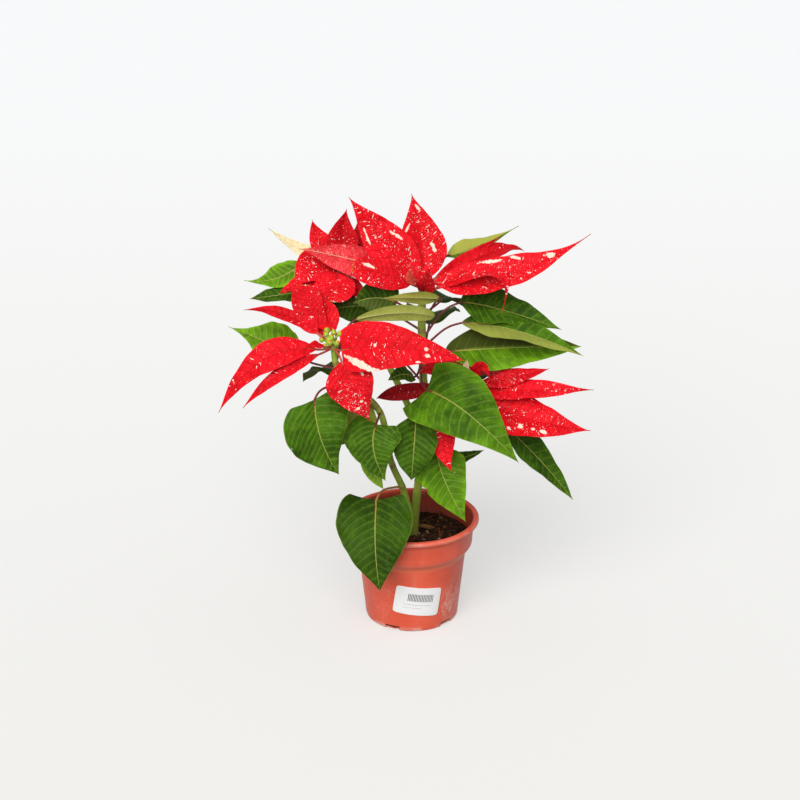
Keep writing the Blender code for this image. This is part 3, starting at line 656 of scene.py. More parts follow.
# %% [markdown]
# ## How a leaf is drawn
#
# A poinsettia leaf or bract is an egg shape that runs out into a long point.
# Its midrib is a curve through three points. Across it, the two halves fold up
# and then arch over a little, the edge waves, and the sheet swells between the
# side veins. All of that is one function of the share s from base to tip and
# the share t from edge to edge, so a leaf is a grid. The same grid, moved down
# by the thickness, is its underside, where the midrib stands out as a rib.

# %% Forms
Form = namedtuple("Form", "rise fall sweep wave")
FORMS = {
    "heart": Form(rise=0.42, fall=1.20, sweep=0.16, wave=0.05),
    "oval": Form(rise=0.65, fall=1.15, sweep=0.0, wave=0.06),
    "bract": Form(rise=0.95, fall=1.45, sweep=0.0, wave=0.05),
    "broad": Form(rise=0.36, fall=1.05, sweep=0.04, wave=0.04),
    "blunt": Form(rise=0.60, fall=0.42, sweep=0.0, wave=0.03),
    "tailed": Form(rise=1.05, fall=2.1, sweep=0.0, wave=0.05),
}
print("forms:", ", ".join(FORMS))

# %% [markdown]
# What the eye adds to the shape is kept apart, in a Look: how young and yellow
# a leaf is, or how thickly flecked a bract; how much of the other colour it has
# taken on; how pale it is, and below 0 how much painted shade darkens a leaf or
# bract that lies in shadow; and where its large cream patches lie, each as s, t,
# its length in s, its width in t, and how far t changes along it. One half of a
# leaf can show the colour of the underside, where the leaf has rolled over, and
# that half is painted lighter where light falls on it and darker where it lies
# in shade: painted light and shade. Its numbers are the side it is on, how much
# of the underside colour shows, and how pale that half is, painted shade below 0.

# %% Looks
Look = namedtuple("Look", "young blush pale patches teeth wobble half",
                  defaults=(0.3, 0.0, 0.0, (), (), 0.012, (1, 0.0, 0.0)))
print("a plain look:", Look())

# %% Outline and midrib
PLAIN_EDGE = 0.985  # as a share of the half width, so that waves and teeth stay inside the CAD model


def half_width(blade, s):
    """Half the width at s: s to the rise times (1 - s) to the fall, with half the blade's width as its peak."""
    form = blade.form
    peak = form.rise / (form.rise + form.fall)
    top = peak ** form.rise * (1 - peak) ** form.fall
    return 0.5 * blade.width * s ** form.rise * (1 - s) ** form.fall / top


def midrib(blade, s):
    """Places and directions on the midrib: base (1-s)^2 + pull 2s(1-s) + tip s^2.

    The pull is 2 middle - (base + tip) / 2, so that the curve passes through the middle.
    """
    base, middle, tip = (np.array(point, float) for point in (blade.base, blade.middle, blade.tip))
    pull = 2.0 * middle - 0.5 * (base + tip)
    s = np.atleast_1d(s)[:, None]
    place = base * (1 - s) ** 2 + pull * 2 * s * (1 - s) + tip * s * s
    return place, unit((pull - base) * 2 * (1 - s) + (tip - pull) * 2 * s)


def edge_factor(look, S, T, turns):
    """How far the edge stands out from the plain outline: three waves on either side, and the teeth."""
    pick = (T > 0).astype(int)
    wobble = sum(np.sin(2.0 * math.pi * rate * S + turns[pick, index]) / (1 + index)
                 for index, rate in enumerate((2.3, 5.1, 9.7)))
    edge = PLAIN_EDGE + look.wobble * wobble * np.abs(T) ** 3
    for at, sign, depth in look.teeth:
        edge = edge + depth * np.exp(-((S - at) / 0.022) ** 2) * (T * sign > 0) * np.abs(T) ** 3
    return edge


def patch_field(look, S, T):
    """1 in the middle of each patch and 0 at its edge: 1 - (ds / long)^2 - (dt / wide)^2."""
    field = np.full(S.shape, -3.0)
    for at, across, long, wide, slant in look.patches:
        field = np.maximum(field, 1.0 - ((S - at) / long) ** 2 - ((T - across - slant * (S - at)) / wide) ** 2)
    return field


# %% The grid of a leaf
VEINS = 11.5  # side veins along a leaf of middling length


def leaf_grid(blade, seed, look, thin):
    """Points of the upper and lower sheets, with what the finishes need to know about each."""
    length = float(np.linalg.norm(np.array(blade.tip, float) - np.array(blade.base, float)))
    rows = int(np.clip(length / 1.25, 26, 96))
    columns = 2 * int(np.clip(blade.width / 2.6, 4, 16)) + 1
    u = np.linspace(0.0, 1.0, rows)
    s = 0.45 * u + 0.55 * (0.5 - 0.5 * np.cos(math.pi * u))
    t = np.linspace(-1.0, 1.0, columns)
    number = sum(map(ord, seed))
    phase = random.Random(seed).uniform(0.0, 2.0 * math.pi)
    rng = np.random.default_rng(number)
    place, along = midrib(blade, s)
    face = np.array(blade.face, float)
    up = unit(face - along * (along @ face)[:, None])
    side = np.cross(along, up)
    reach = np.maximum(half_width(blade, s), 0.28)[:, None]
    S, T = np.meshgrid(s, t, indexing="ij")
    turns = rng.random((2, 3)) * 2.0 * math.pi
    out = T * reach * edge_factor(look, S, T, turns)
    fold = math.radians(blade.fold)
    crease = (np.sqrt(T * T + 0.012) - math.sqrt(0.012)) / (math.sqrt(1.012) - math.sqrt(0.012))
    ripple = blade.form.wave * blade.width * T * T * np.sin(4.0 * math.pi * S + phase + 1.5 * T)
    narrow = np.minimum(1.0, reach / (0.3 * blade.width))
    ripple = ripple * narrow
    frill = 0.014 * blade.width * np.abs(T) ** 3 * np.sin(11.0 * math.pi * S + 2.0 * phase + 2.5 * T)
    frill = frill * narrow
    back = blade.form.sweep * length * T * T * np.maximum(0.0, 1 - S / 0.35) ** 2 * np.minimum(1.0, S / 0.06)
    back = back + blade.lean * T * reach * (1 - S)
    spacing = float(np.clip(length / VEINS, 4.2, 8.5))
    run = np.abs(out)
    vein = (S * length - 0.42 * run - 0.011 * run * run) / spacing
    swell = 0.5 - 0.5 * np.cos(2.0 * math.pi * (vein + 0.5 * (T > 0)))
    swell = swell * 4.0 * np.abs(T) * (1 - np.abs(T)) * thin.swell * np.minimum(1.0, reach / 6.0)
    arch = thin.arch * reach * 4.0 * np.abs(T) * (1 - np.abs(T))
    height = crease * reach * math.sin(fold) + ripple + frill + arch + swell
    sheet = place[:, None] + side[:, None] * (out * math.cos(fold))[..., None]
    sheet = sheet - along[:, None] * back[..., None] + up[:, None] * height[..., None]
    normal = unit(np.cross(np.gradient(sheet, axis=1), np.gradient(sheet, axis=0)))
    rib = thin.rib * (1 - S) ** 0.7 * np.exp(-(out / (0.6 + 0.5 * (1 - S))) ** 2) * np.minimum(1.0, reach / 1.5)
    thick = thin.sheet * (1 - 0.4 * T * T)
    upper = sheet + normal * (0.5 * thick)[..., None]
    lower = sheet - normal * (0.5 * thick + rib)[..., None]
    return {"upper": upper, "lower": lower, "s": S, "t": T, "vein": vein + float(number % 89), "out": out,
            "patch": patch_field(look, S, T), "spacing": spacing, "u": u}


# %% [markdown]
# Both sheets and the thin rim between them make a closed shape. Its map for
# baking lays the upper side on the left half, the underside on the right, and
# the rim in a strip along the top, so that no two places share a pixel.

# %% Blades
Thin = namedtuple("Thin", "sheet rib arch swell")
LEAF_THIN = Thin(sheet=0.42, rib=0.75, arch=0.05, swell=0.42)
BRACT_THIN = Thin(sheet=0.36, rib=0.55, arch=0.04, swell=0.45)


def rim_order(rows, columns):
    """Point numbers round the edge of a grid, in the order base, right, tip, left."""
    grid = np.arange(rows * columns).reshape(rows, columns)
    return np.concatenate((grid[0, :-1], grid[:-1, -1], grid[-1, :0:-1], grid[:0:-1, 0]))


def leaf_piece(name, blade, seed, look, thin, finish, node):
    made = leaf_grid(blade, seed, look, thin)
    rows, columns = made["s"].shape
    count = rows * columns
    points = np.concatenate((made["upper"].reshape(-1, 3), made["lower"].reshape(-1, 3)))
    top = grid_faces(rows, columns)
    under = grid_faces(rows, columns, count)[:, ::-1]
    ring = rim_order(rows, columns)
    after = np.roll(ring, -1)
    rim = np.stack((ring, ring + count, after + count, after), -1)
    u = np.concatenate((0.01 + 0.24 * (made["t"] + 1), 0.51 + 0.24 * (made["t"] + 1))).ravel()
    v = np.tile(0.01 + 0.94 * made["u"][:, None], (2, columns)).ravel()
    on_sheet = np.stack((u, v), -1)[np.concatenate((top, under)).ravel()]
    start = np.linspace(0.01, 0.99, len(ring), endpoint=False)
    stop = start + 0.98 / len(ring)
    low, high = np.full(len(ring), 0.965), np.full(len(ring), 0.985)
    on_rim = np.stack((start, high, start, low, stop, low, stop, high), -1).reshape(-1, 2)
    # One half, set by the look, is painted in the underside colour where the leaf has rolled over, and the third
    # number of the half paints light on that half above 0 and shade below 0.
    side, shown, half_light_and_shade = look.half
    s, t, vein, out, patch = (np.tile(made[key].ravel(), 2) for key in ("s", "t", "vein", "out", "patch"))
    painted_half = np.clip(t * side * 9.0, 0.0, 1.0)
    below = np.maximum(np.repeat((0.0, 1.0), count), painted_half * shown)
    even = np.ones(2 * count)
    stored = {
        "lay": np.stack((s, t, below), -1),
        "vein": np.stack((vein, out, even * made["spacing"]), -1),
        "tone": np.stack((even * look.young, even * look.blush, look.pale + painted_half * half_light_and_shade), -1),
        "patch": patch,
    }
    faces = np.concatenate((top, under, rim)).tolist()
    maps = {"OFBake": np.concatenate((on_sheet, on_rim))}
    return piece(name, points, faces, finish, [node], stored, maps)


# %% [markdown]
# ## The green of a leaf
#
# A leaf is dark green above, lighter near the side veins, and pale and matt
# below. The side veins follow a number that counts them along the midrib, so
# the distance to the nearest whole number draws them all. Veins on the right
# half are half a step further, as they leave the midrib by turns.

# %% Vein lines shared by leaves and bracts
def vein_lines(skin, width):
    """The facts stored on the points, then masks of the side veins, their pale edges and the midrib."""
    s, t, under = skin.parts(skin.attribute("lay"))
    count, out, spacing = skin.parts(skin.attribute("vein"))
    wander = skin.noise(skin.place(), 130.0, 2.0) - 0.5
    drift = skin.noise(skin.place(), 26.0, 1.0) - 0.5
    shifted = count + (out > 0.0) * 0.5 + wander * 0.16 + drift * 0.7
    off = ((shifted + 0.5).rest() - 0.5).size() * spacing
    reach = t.size()
    line = off.fall(0.25 * width, width) * reach.fall(0.78, 1.0) * s.fall(0.86, 0.97)
    halo = off.fall(0.3, 2.2) * reach.fall(0.7, 1.0)
    rib = (out.size() / (0.3 + 0.55 * (1 - s))).fall(0.45, 1.0)
    return s, t, under, count, out, spacing, line, halo, rib


def two_sided(skin, under, upper_relief, lower_relief, strength, **values):
    """The shader of a sheet whose underside has its own relief."""
    height = upper_relief * (1 - under) + lower_relief * under
    skin.set(Normal=skin.bump(height, 0.00045, strength), **values)
    return skin


# %% The finish of a leaf
def leaf_finish(name, dark, mid, bright):
    skin = Finish(name)
    place = skin.place()
    s, t, under, count, away, _, line, halo, rib = vein_lines(skin, 0.5)
    young, blush, pale = skin.parts(skin.attribute("tone"))
    cloud = skin.noise(place, 34.0, 4.0, 0.55)
    fine = skin.noise(place, 260.0, 4.0, 0.6)
    mesh = skin.cells(place, 620.0, "DISTANCE_TO_EDGE").fall(0.02, 0.11)
    edge = t.size().step(0.55, 1.0) * 0.35 + s.step(0.55, 1.0) * 0.35
    blotch = skin.noise(skin.vector(count * 1.4, away * 0.12, 0.0), 1.0, 5.0, 0.6)
    flush = (blush + (cloud - 0.5) * 0.7).step(0.25, 0.8)
    rib_colour = skin.mix(s.fall(0.0, 0.42) * 0.75, (0.48, 0.50, 0.12), (0.62, 0.26, 0.06))
    # Painted shade: a pale below 0 darkens a leaf that lies in shadow, on both sides; a pale above 0 makes it
    # paler, and on the half that the look sets it is painted light.
    painted_shade, light = (0 - pale).high(0.0), pale.high(0.0)
    below = skin.paint(
        (0.19, 0.22, 0.045), (cloud.step(0.3, 0.7), (0.29, 0.31, 0.075)), (mesh * 0.25, (0.16, 0.19, 0.03)),
        (young * 0.6, (0.30, 0.42, 0.02)), (line * 0.4, (0.44, 0.46, 0.20)), (rib * 0.7, (0.50, 0.48, 0.20)),
        (flush * 0.7, (0.34, 0.13, 0.04)), (painted_shade, (0.018, 0.020, 0.002)), (light, (0.50, 0.50, 0.07)))
    colour = skin.paint(
        dark, (cloud.step(0.3, 0.72), mid),
        ((young * (0.55 + edge) + (cloud - 0.5) * 0.5).step(0.05, 0.85), bright),
        (fine.step(0.45, 0.7) * 0.22, bright), (blotch.fall(0.34, 0.62) * 0.5, dark),
        (halo * 0.14, (0.16, 0.29, 0.012)), (mesh * 0.10, (0.20, 0.32, 0.03)),
        (flush * 0.85, (0.36, 0.10, 0.012)), (painted_shade, (0.010, 0.013, 0.001)),
        (light * 0.8, (0.40, 0.50, 0.06)), (line * (0.02 + 0.6 * cloud) * (0.42 + young), (0.34, 0.50, 0.13)),
        (rib * 0.65, rib_colour), (t.size().step(0.955, 0.995) * 0.25, (0.30, 0.42, 0.04)),
        (skin.cells(place, 62.0).fall(0.028, 0.045) * 0.7, (0.55, 0.62, 0.40)), (under, below))
    relief = (1 - line) * 0.6 + (1 - rib) * 0.7 + (1 - mesh) * 0.22 + fine * 0.25
    return two_sided(skin, under, relief, 0.5 * line + rib + 0.3 * mesh, 0.75, Base_Color=colour,
                     Roughness=0.40 + 0.14 * fine + 0.06 * cloud + 0.22 * under, Specular_IOR_Level=0.08)


leaf_skin = leaf_finish("poinsettia_leaf", (0.015, 0.056, 0.001), (0.062, 0.170, 0.003), (0.20, 0.45, 0.006))

# %% [markdown]
# ## The red of a bract
#
# The flower of this plant is its bracts: leaves that turn red. These are
# flecked with cream. The flecks come in three sizes: fine dots everywhere,
# short streaks that lie along the side veins, and a few large ragged patches
# whose places are listed with the tables.

# %% Bract finish
def bract_finish():
    skin = Finish("flecked_red_bract")
    place = skin.place()
    s, t, under, count, away, spacing, line, halo, rib = vein_lines(skin, 0.55)
    young, blush, pale = skin.parts(skin.attribute("tone"))
    patch = skin.attribute("patch", "Fac")
    cloud = skin.noise(place, 30.0, 4.0, 0.55)
    fine = skin.noise(place, 300.0, 4.0, 0.6)
    mesh = skin.cells(place, 560.0, "DISTANCE_TO_EDGE").fall(0.02, 0.12)
    grain = skin.noise(place, 140.0, 5.0, 0.7)
    # Painted shade: a pale below 0 darkens a bract that lies in shadow to a deep red, on both sides; a pale above
    # 0 turns it cream and tan.
    painted_shade, light = (0 - pale).high(0.0), pale.high(0.0)
    red = skin.paint(
        (0.66, 0.0015, 0.006), (cloud.step(0.3, 0.7), (0.92, 0.006, 0.018)),
        (grain.fall(0.30, 0.56) * 0.55, (0.42, 0.001, 0.004)),
        (fine.step(0.35, 0.75) * 0.3, (0.95, 0.022, 0.035)),
        (line * 0.20 + halo * 0.16, (0.40, 0.002, 0.005)), (mesh * 0.12, (0.55, 0.002, 0.008)),
        (rib * 0.45, (0.50, 0.006, 0.008)), (painted_shade, (0.13, 0.0015, 0.003)))
    mask, freckles = flecks(skin, place, young, count * spacing, away, patch)
    cream = skin.paint((0.97, 0.78, 0.68), (fine, (0.98, 0.92, 0.86)),
                       ((patch > 0.0) * 0.7, (0.95, 0.72, 0.56)))
    wan = skin.mix(fine.step(0.3, 0.7), (0.80, 0.66, 0.34), (0.90, 0.80, 0.52))
    green = (blush + (cloud - 0.5) * 0.6).step(0.3, 0.8) * (0.35 + 0.65 * t.size())
    below = skin.paint(
        (0.72, 0.012, 0.022), (cloud.step(0.3, 0.7), (0.88, 0.05, 0.065)), (mesh * 0.2, (0.60, 0.01, 0.02)),
        (grain.fall(0.34, 0.60) * 0.6, (0.48, 0.006, 0.012)), (freckles * 0.45, (0.95, 0.46, 0.40)),
        (mask * 0.65, (0.95, 0.60, 0.48)), (line * 0.25, (0.90, 0.24, 0.20)), (rib * 0.75, (0.90, 0.45, 0.30)),
        (painted_shade, (0.15, 0.002, 0.004)), (light, wan))
    colour = skin.paint(
        red, (mask * 0.93, cream), (light, wan), (green, (0.16, 0.15, 0.008)),
        (s.step(0.955, 0.995) * 0.4, (0.30, 0.22, 0.03)), (under, below))
    relief = (1 - line) * 0.7 + (1 - rib) * 0.7 + (1 - mesh) * 0.25 + fine * 0.2
    return two_sided(skin, under, relief, 0.5 * line + rib + 0.3 * mesh, 0.8, Base_Color=colour,
                     Roughness=0.46 + 0.14 * fine + 0.14 * under, Specular_IOR_Level=0.09)


def flecks(skin, place, young, along, away, patch):
    """Masks of the cream flecks and of the freckles on the underside. A high young value thickens both."""
    thick = young * (0.15 + 1.7 * skin.noise(place, 42.0, 2.0).step(0.36, 0.68))
    fray = skin.node("ShaderNodeTexNoise", {}, {"Vector": place, "Scale": 700.0}, "Color")
    fray = skin.scaled(fray, (0.0006, 0.0006, 0.0006))
    frayed = skin.node("ShaderNodeVectorMath", {"operation": "ADD"}, (place, fray))
    dots = skin.spots(frayed, 600.0, thick * 0.17, 0.40)
    drops = skin.spots(frayed, 255.0, thick * 0.20, 0.25)
    dust = skin.spots(place, 1150.0, 0.03 + thick * 0.22, 0.42)
    dashes = skin.spots(skin.vector(along * 0.72, away * 0.15, 0.0), 1.0, thick * 0.30, 0.33)
    ragged = patch + (skin.noise(place, 230.0, 4.0, 0.65) - 0.5) * 3.2
    mask = (dots * 0.8).high(drops).high(dashes).high(dust * 0.55).high(ragged.step(0.30, 0.42))
    return mask, skin.spots(frayed, 820.0, 0.16 + young * 0.25, 0.46)


bract_skin = bract_finish()

# %% [markdown]
# ## Where everything grows
#
# These are the places of the CAD model. The stems come first, as points of
# their middle lines.
#
# A row of the tables below is a leaf or bract. It gives, between commas, its
# name; for a leaf also the height where its stalk leaves the stem; the base,
# middle and tip of its midrib; its width; the direction its upper side looks;
# how far its halves fold up; and its form and lean where they aren't the usual
# ones. Behind the slash is what its look has that a plain one hasn't: most are
# plain, and the exceptions are the bright young leaves, those on their way to
# turning red, the bracts with more or fewer flecks, and the leaves and bracts
# that lie in shadow, whose pale below 0 paints shade on them.

# %% Stems
STEMS = {
    "top": ((2, 4, 61), (2, 4, 78), (4, 3, 110), (8, 2, 150), (10, 0, 205), (8, -1, 265), (8, 0, 305)),
    "left": ((2, 4, 92), (-3, 0, 104), (-9, -5, 126), (-19, -13, 155), (-28, -26, 205),
             (-55, -38, 238), (-64, -42, 254), (-66, -42, 267)),
    "right": ((8, 2, 142), (14, 0, 165), (26, -5, 196), (39, -10, 221)),
    "rear": ((8, 1, 165), (-5, 10, 200), (-34, 25, 258), (-58, 35, 309)),
}
print("stems:", ", ".join(STEMS))

# %% Leaf rows
LEAF_ROWS = {
    "top": """
right one, 262, 41 4 294, 75 3 288, 127 -6 273, 41, 0 -.6 .8, 12 / young .08
right two, 254, 42 -6 279, 90 -14 274, 145 -20 254, 30, 0 -.5 .85, 14 / young .25, half 1 .9 .22
right three, 236, 28 -4 252, 86 -2 255, 146 4 254, 42, 0 -.75 .65, 10 / young .75, half -1 .7 -.8
left dark one, 270, -30 13 286, -52 12 288, -73 8 284, 34, 0 -.9 .4, 10 / young 0, pale -.55, half 1 .3 0
left dark two, 280, -13 -6 297, -31 -8 302, -50 -10 298, 36, 0 -.9 .4, 10 / young 0, pale -.45, half -1 .3 0
behind stalks, 272, 20 18 290, 30 40 286, 45 62 272, 40, 0 -.3 .95, 10 / young .1, pale -.3
front sliver, 284, 23 -10 302, 1 -24 307, -24 -30 309, 11, 0 .95 -.1, 6 / young .5, blush .45, pale .1
big front, 243, 12 -30 227, 46 -54 215, 89 -68 176, 64, -.1 -.85 .5, 10, heart, .35 / young .38, wobble .006
centre low, 190, 3 -30 203, 1 -46 178, -1 -48 151, 40, 0 -.9 .35, 10 / young .1, pale -.15, wobble .02
right low, 186, 21 -20 171, 27 -34 147, 46 -46 111, 46, .1 -.9 .4, 10 / young .6
small olive, 246, 1 -18 234, -9 -28 240, -21 -34 237, 18, 0 -.6 .8, 10 / blush .2, pale -.3
top right, 292, 29 21 330, 56 33 335, 92 46 350, 22, .1 -.5 .85, 12, tailed / young .2, blush .15, half -1 1 .5
back high, 240, 15 40 262, 20 75 262, 24 112 240, 50, 0 .1 1, 10
back left, 222, -20 36 240, -45 62 238, -70 88 217, 46, 0 .1 1, 10
back right, 200, 40 34 211, 68 55 208, 96 74 186, 46, 0 .1 1, 10
back low, 130, 20 38 185, 26 66 178, 34 92 150, 40, 0 .1 1, 10
""",
    "left": """
far left, 250, -96 -20 252, -126 -14 265, -157 -10 277, 46, 0 -.5 .85, 12, tailed / young .85
front left low, 238, -82 -58 229, -77 -70 199, -62 -72 167, 63, .35 -.88 .3, 8, heart, -.55 / young .16, wobble 0
front middle low, 205, -31 -46 202, -33 -58 183, -23 -60 156, 48, 0 -.9 .4, 8, heart / young .22, wobble .03
over the rim, 126, -31 -40 129, -32 -66 98, -28 -76 59, 68, -.1 -.9 .45, 10, heart / young 0, pale -.4, wobble .008
pale under, 212, -37 -24 214, -53 -40 201, -68 -50 182, 40, 0 .7 -.5, 10 / young 1, pale .1
crossing, 256, -48 -24 288, -12 -34 297, 18 -31 293, 14, 0 .95 -.1, 6, blunt / young .1, pale .15
small pale, 150, -40 -34 173, -34 -40 156, -25 -42 140, 16, 0 -.9 .3, 8 / young 1, pale .25
back, 215, -50 0 225, -75 25 225, -98 48 205, 44, 0 .1 1, 10 / young .1, pale -.3
""",
    "right": """
small dark, 165, 30 -14 153, 45 -18 159, 62 -22 168, 13, 0 -.6 .8, 10 / young 0, pale -.35
far right low, 176, 79 -2 184, 111 -6 153, 142 -14 117, 28, .3 -.7 .6, 12 / young .2
back, 182, 60 25 170, 82 50 160, 100 72 130, 42, 0 .1 1, 10
""",
    "rear": """
left upper, 272, -94 38 320, -119 30 307, -146 26 307, 26, 0 -.6 .75, 12, tailed / young .8
left lower, 262, -84 28 298, -111 20 296, -140 14 294, 24, 0 -.5 .85, 12 / young 0, pale -.2
back, 255, -62 60 270, -72 92 265, -80 122 240, 46, 0 .1 1, 10
""",
}

# %% Bract rows
BRACT_ROWS = {
    "top": """
tall, 9 3 313, 7 20 344, -1 32 382, 43, .1 -.9 .35, 10 / young .5
up left, 5 0 313, -23 12 344, -54 20 382, 40, -.1 -.85 .5, 10 / young .75
low left, -2 -4 313, -25 -12 324, -51 -16 331, 27, 0 -.8 .55, 6, blunt / young .75
long left, -7 4 320, -53 16 329, -96 10 340, 30, 0 .75 -.5, 10 / young .9
long right, 16 -4 314, 86 -14 327, 148 -12 359, 38, .1 -.6 .8, 12, tailed / young .6
under right, 15 -6 307, 69 -26 329, 73 -38 298, 15, .3 -.5 .8, 10, tailed / young .7
behind right, 20 4 314, 69 14 336, 96 26 333, 22, .1 -.3 .95, 12 / young .4, pale -.25
narrow right, 18 4 315, 47 14 331, 75 20 348, 11, 0 -.9 .3, 10 / young .1, pale -.2
pale curl, 2 -7 313, -2 -9 321, 0 -12 331, 9, -.3 -.9 .2, 14 / young .8, blush .3, pale .1
back middle, 6 12 315, 1 22 333, -5 26 347, 16, 0 -.9 .3, 10 / blush .75
back one, 11 12 315, 10 48 318, 8 88 302, 28, 0 .1 1, 10
back two, 4 12 315, -18 46 319, -26 80 306, 28, 0 .1 1, 10
inner front, 9 -8 307, 11 -16 317, 14 -15 331, 17, 0 -.9 .3, 6 / young .5, pale -.35
""",
    "rear": """
cream tip, -66 38 318, -97 54 326, -126 60 344, 14, 0 -.6 .8, 8 / pale .95
upper left, -64 36 320, -80 46 336, -87 52 354, 20, 0 -.9 .3, 12 / young .6
erect, -59 38 321, -61 48 339, -57 54 363, 30, .1 -.9 .3, 20 / young .9, blush .12, pale -.28
dark back, -52 38 320, -44 56 334, -48 66 354, 26, -.1 -.9 .3, 10 / young .7, blush .3, pale -.4
broad left, -66 28 316, -86 14 320, -99 6 308, 42, -.2 -.75 .6, 10, broad / young .7
pointed left, -66 28 314, -96 10 309, -114 6 301, 18, -.1 -.5 .85, 10
blunt front, -64 20 316, -66 2 310, -68 -8 298, 36, 0 -.8 .6, 4, blunt / young .4
under front, -54 24 311, -48 7 303, -48 0 297, 14, .2 -.7 .6, 10 / young .1, pale -.2
back left, -64 40 316, -92 66 308, -112 92 292, 30, 0 .1 1, 10
back right, -54 41 316, -50 74 308, -52 104 290, 30, 0 .1 1, 10
""",
    "left": """
long low, -80 -43 268, -125 -58 263, -162 -62 219, 28, -.3 -.75 .6, 10 / young .14
second low, -77 -48 266, -112 -64 252, -141 -70 226, 13, -.2 -.8 .5, 10 / young .22
big front, -59 -48 269, -15 -66 278, 42 -70 268, 44, 0 -.85 .5, 8, broad / young .22
front down, -59 -58 263, -50 -66 242, -36 -66 213, 41, 0 -.95 .3, 8 / young 1
narrow fold, -78 -32 278, -110 -27 294, -141 -32 299, 13, -.2 -.6 .75, 14 / young .12, pale -.15
small fold, -79 -36 279, -91 -26 287, -103 -22 293, 15, -.2 -.6 .75, 14 / young .12, pale -.1
stub left, -73 -52 274, -80 -60 278, -89 -64 278, 9, -.2 -.6 .75, 10 / young .1
rear left, -73 -30 277, -87 -22 297, -90 -12 315, 27, 0 -.9 .3, 12, blunt / pale -.1
rear right, -65 -32 280, -76 -20 293, -86 -10 307, 25, .1 -.9 .3, 12 / young .25, blush .12
""",
    "right": """
upper right, 54 -12 224, 88 -18 234, 117 -16 241, 18, 0 -.6 .8, 10 / young .55, pale -.2
middle right, 54 -14 219, 100 -28 226, 154 -30 227, 23, .1 -.55 .8, 10 / young .65
lower right, 51 -18 218, 94 -38 205, 151 -46 196, 45, .1 -.7 .7, 10 / young .35
small curl, 47 -17 228, 58 -25 246, 65 -31 237, 11, 0 -.9 .3, 14 / young .1, pale -.15
pale tip, 43 -17 229, 45 -20 242, 46 -22 252, 8, 0 -.9 .3, 10 / young 0, blush .1, pale .85
behind leaf, 32 -12 229, 20 -15 240, 5 -18 237, 20, 0 -.6 .8, 10 / young .4, pale -.35
low left, 28 -15 224, -12 -16 219, -31 -22 216, 15, 0 -.95 .25, 10 / young .1, pale -.7
hanging, 32 -20 221, 26 -40 187, 34 -51 160, 24, -.1 -.95 .2, 10 / young .6
back right, 43 0 225, 69 30 225, 84 60 210, 30, .2 0 1, 10
back, 37 0 227, 38 30 230, 36 60 219, 28, 0 0 1, 10
""",
}

# %% Rows into leaves and bracts
Leaf = namedtuple("Leaf", "name form look root base middle tip width face fold lean", defaults=(0.0,))
Bract = namedtuple("Bract", "name form look base middle tip width face fold lean", defaults=(0.0,))


def numbers(text):
    """A number alone comes as itself, several as a tuple."""
    values = tuple(map(float, text.split()))
    return values if len(values) > 1 else values[0]


def table(kind, usual, text):
    """The rows of a text as leaves or bracts of the usual form, unless a row names another."""
    made = []
    for row in text.strip().splitlines():
        shape, _, changes = row.partition(" / ")
        name, *values = shape.split(", ")
        form = next((value for value in values if value in FORMS), usual)
        changed = dict(change.split(" ", 1) for change in changes.split(", ") if change)
        look = Look(**{key: numbers(value) for key, value in changed.items()})
        made.append(kind(name, FORMS[form], look, *(numbers(value) for value in values if value not in FORMS)))
    return made


LEAVES = {name: table(Leaf, "oval", text) for name, text in LEAF_ROWS.items()}
HEADS = {name: table(Bract, "bract", text) for name, text in BRACT_ROWS.items()}
print("leaves:", sum(map(len, LEAVES.values())), " bracts:", sum(map(len, HEADS.values())))

# %% Bud clusters: middle, spread and number of buds, and their radius
Buds = namedtuple("Buds", "middle spread count radius")
BUDS = {
    "top": Buds((9, -5, 313.3), 3.6, 6, 1.6),
    "rear": Buds((-58, 30, 315.7), 3.2, 5, 1.9),
    "left": Buds((-69.4, -45.2, 277.2), 7.5, 9, 2.5),
    "right": Buds((37, -7, 228.8), 4.0, 6, 2.0),
}

# %% [markdown]
# The large cream patches have places of their own, and one leaf has a torn
# edge: teeth at some s, on one side, each of its own depth.

# %% Patches and teeth
MARKS = {
    "leaf top right low": {"teeth": ((0.42, 1, 0.18), (0.55, 1, -0.12), (0.3, 1, -0.1))},
    "bract top tall": {"patches": (
        (0.86, 0.35, 0.045, 0.35, 0), (0.62, -0.8, 0.1, 0.12, 2.5), (0.42, 0.45, 0.09, 0.1, -1))},
    "bract top up left": {"patches": ((0.66, -0.62, 0.13, 0.09, 0.6), (0.5, 0.6, 0.09, 0.1, -1))},
    "bract top long right": {"patches": (
        (0.36, -0.8, 0.1, 0.12, 0.6), (0.52, -0.78, 0.04, 0.14, 4), (0.73, -0.35, 0.035, 0.5, 5))},
    "bract top low left": {"patches": ((0.75, 0.35, 0.16, 0.14, 1.2),)},
    "bract rear pointed left": {"patches": ((0.45, 0.6, 0.14, 0.16, 0),)},
    "bract rear under front": {"patches": ((0.85, 0, 0.12, 0.9, 0),)},
    "bract left big front": {"patches": (
        (0.2, 0.66, 0.24, 0.17, 1.9), (0.74, -0.15, 0.022, 0.2, 0), (0.75, 0.32, 0.03, 0.22, 2),
        (0.7, 0.85, 0.03, 0.12, 0), (0.33, -0.05, 0.018, 0.1, 0))},
    "bract left front down": {"patches": (
        (0.22, -0.78, 0.11, 0.22, 1), (0.36, -0.62, 0.05, 0.12, 0), (0.62, 0.55, 0.016, 0.3, 0),
        (0.45, 0.5, 0.016, 0.2, 0), (0.72, -0.15, 0.03, 0.2, 3), (0.78, 0.4, 0.02, 0.4, 0))},
    "bract right lower right": {"patches": (
        (0.5, 0.5, 0.028, 0.16, 0), (0.6, 0.56, 0.018, 0.12, 0), (0.68, 0.66, 0.032, 0.14, 3),
        (0.43, 0.72, 0.02, 0.1, 0), (0.5, -0.2, 0.03, 0.05, -2))},
}
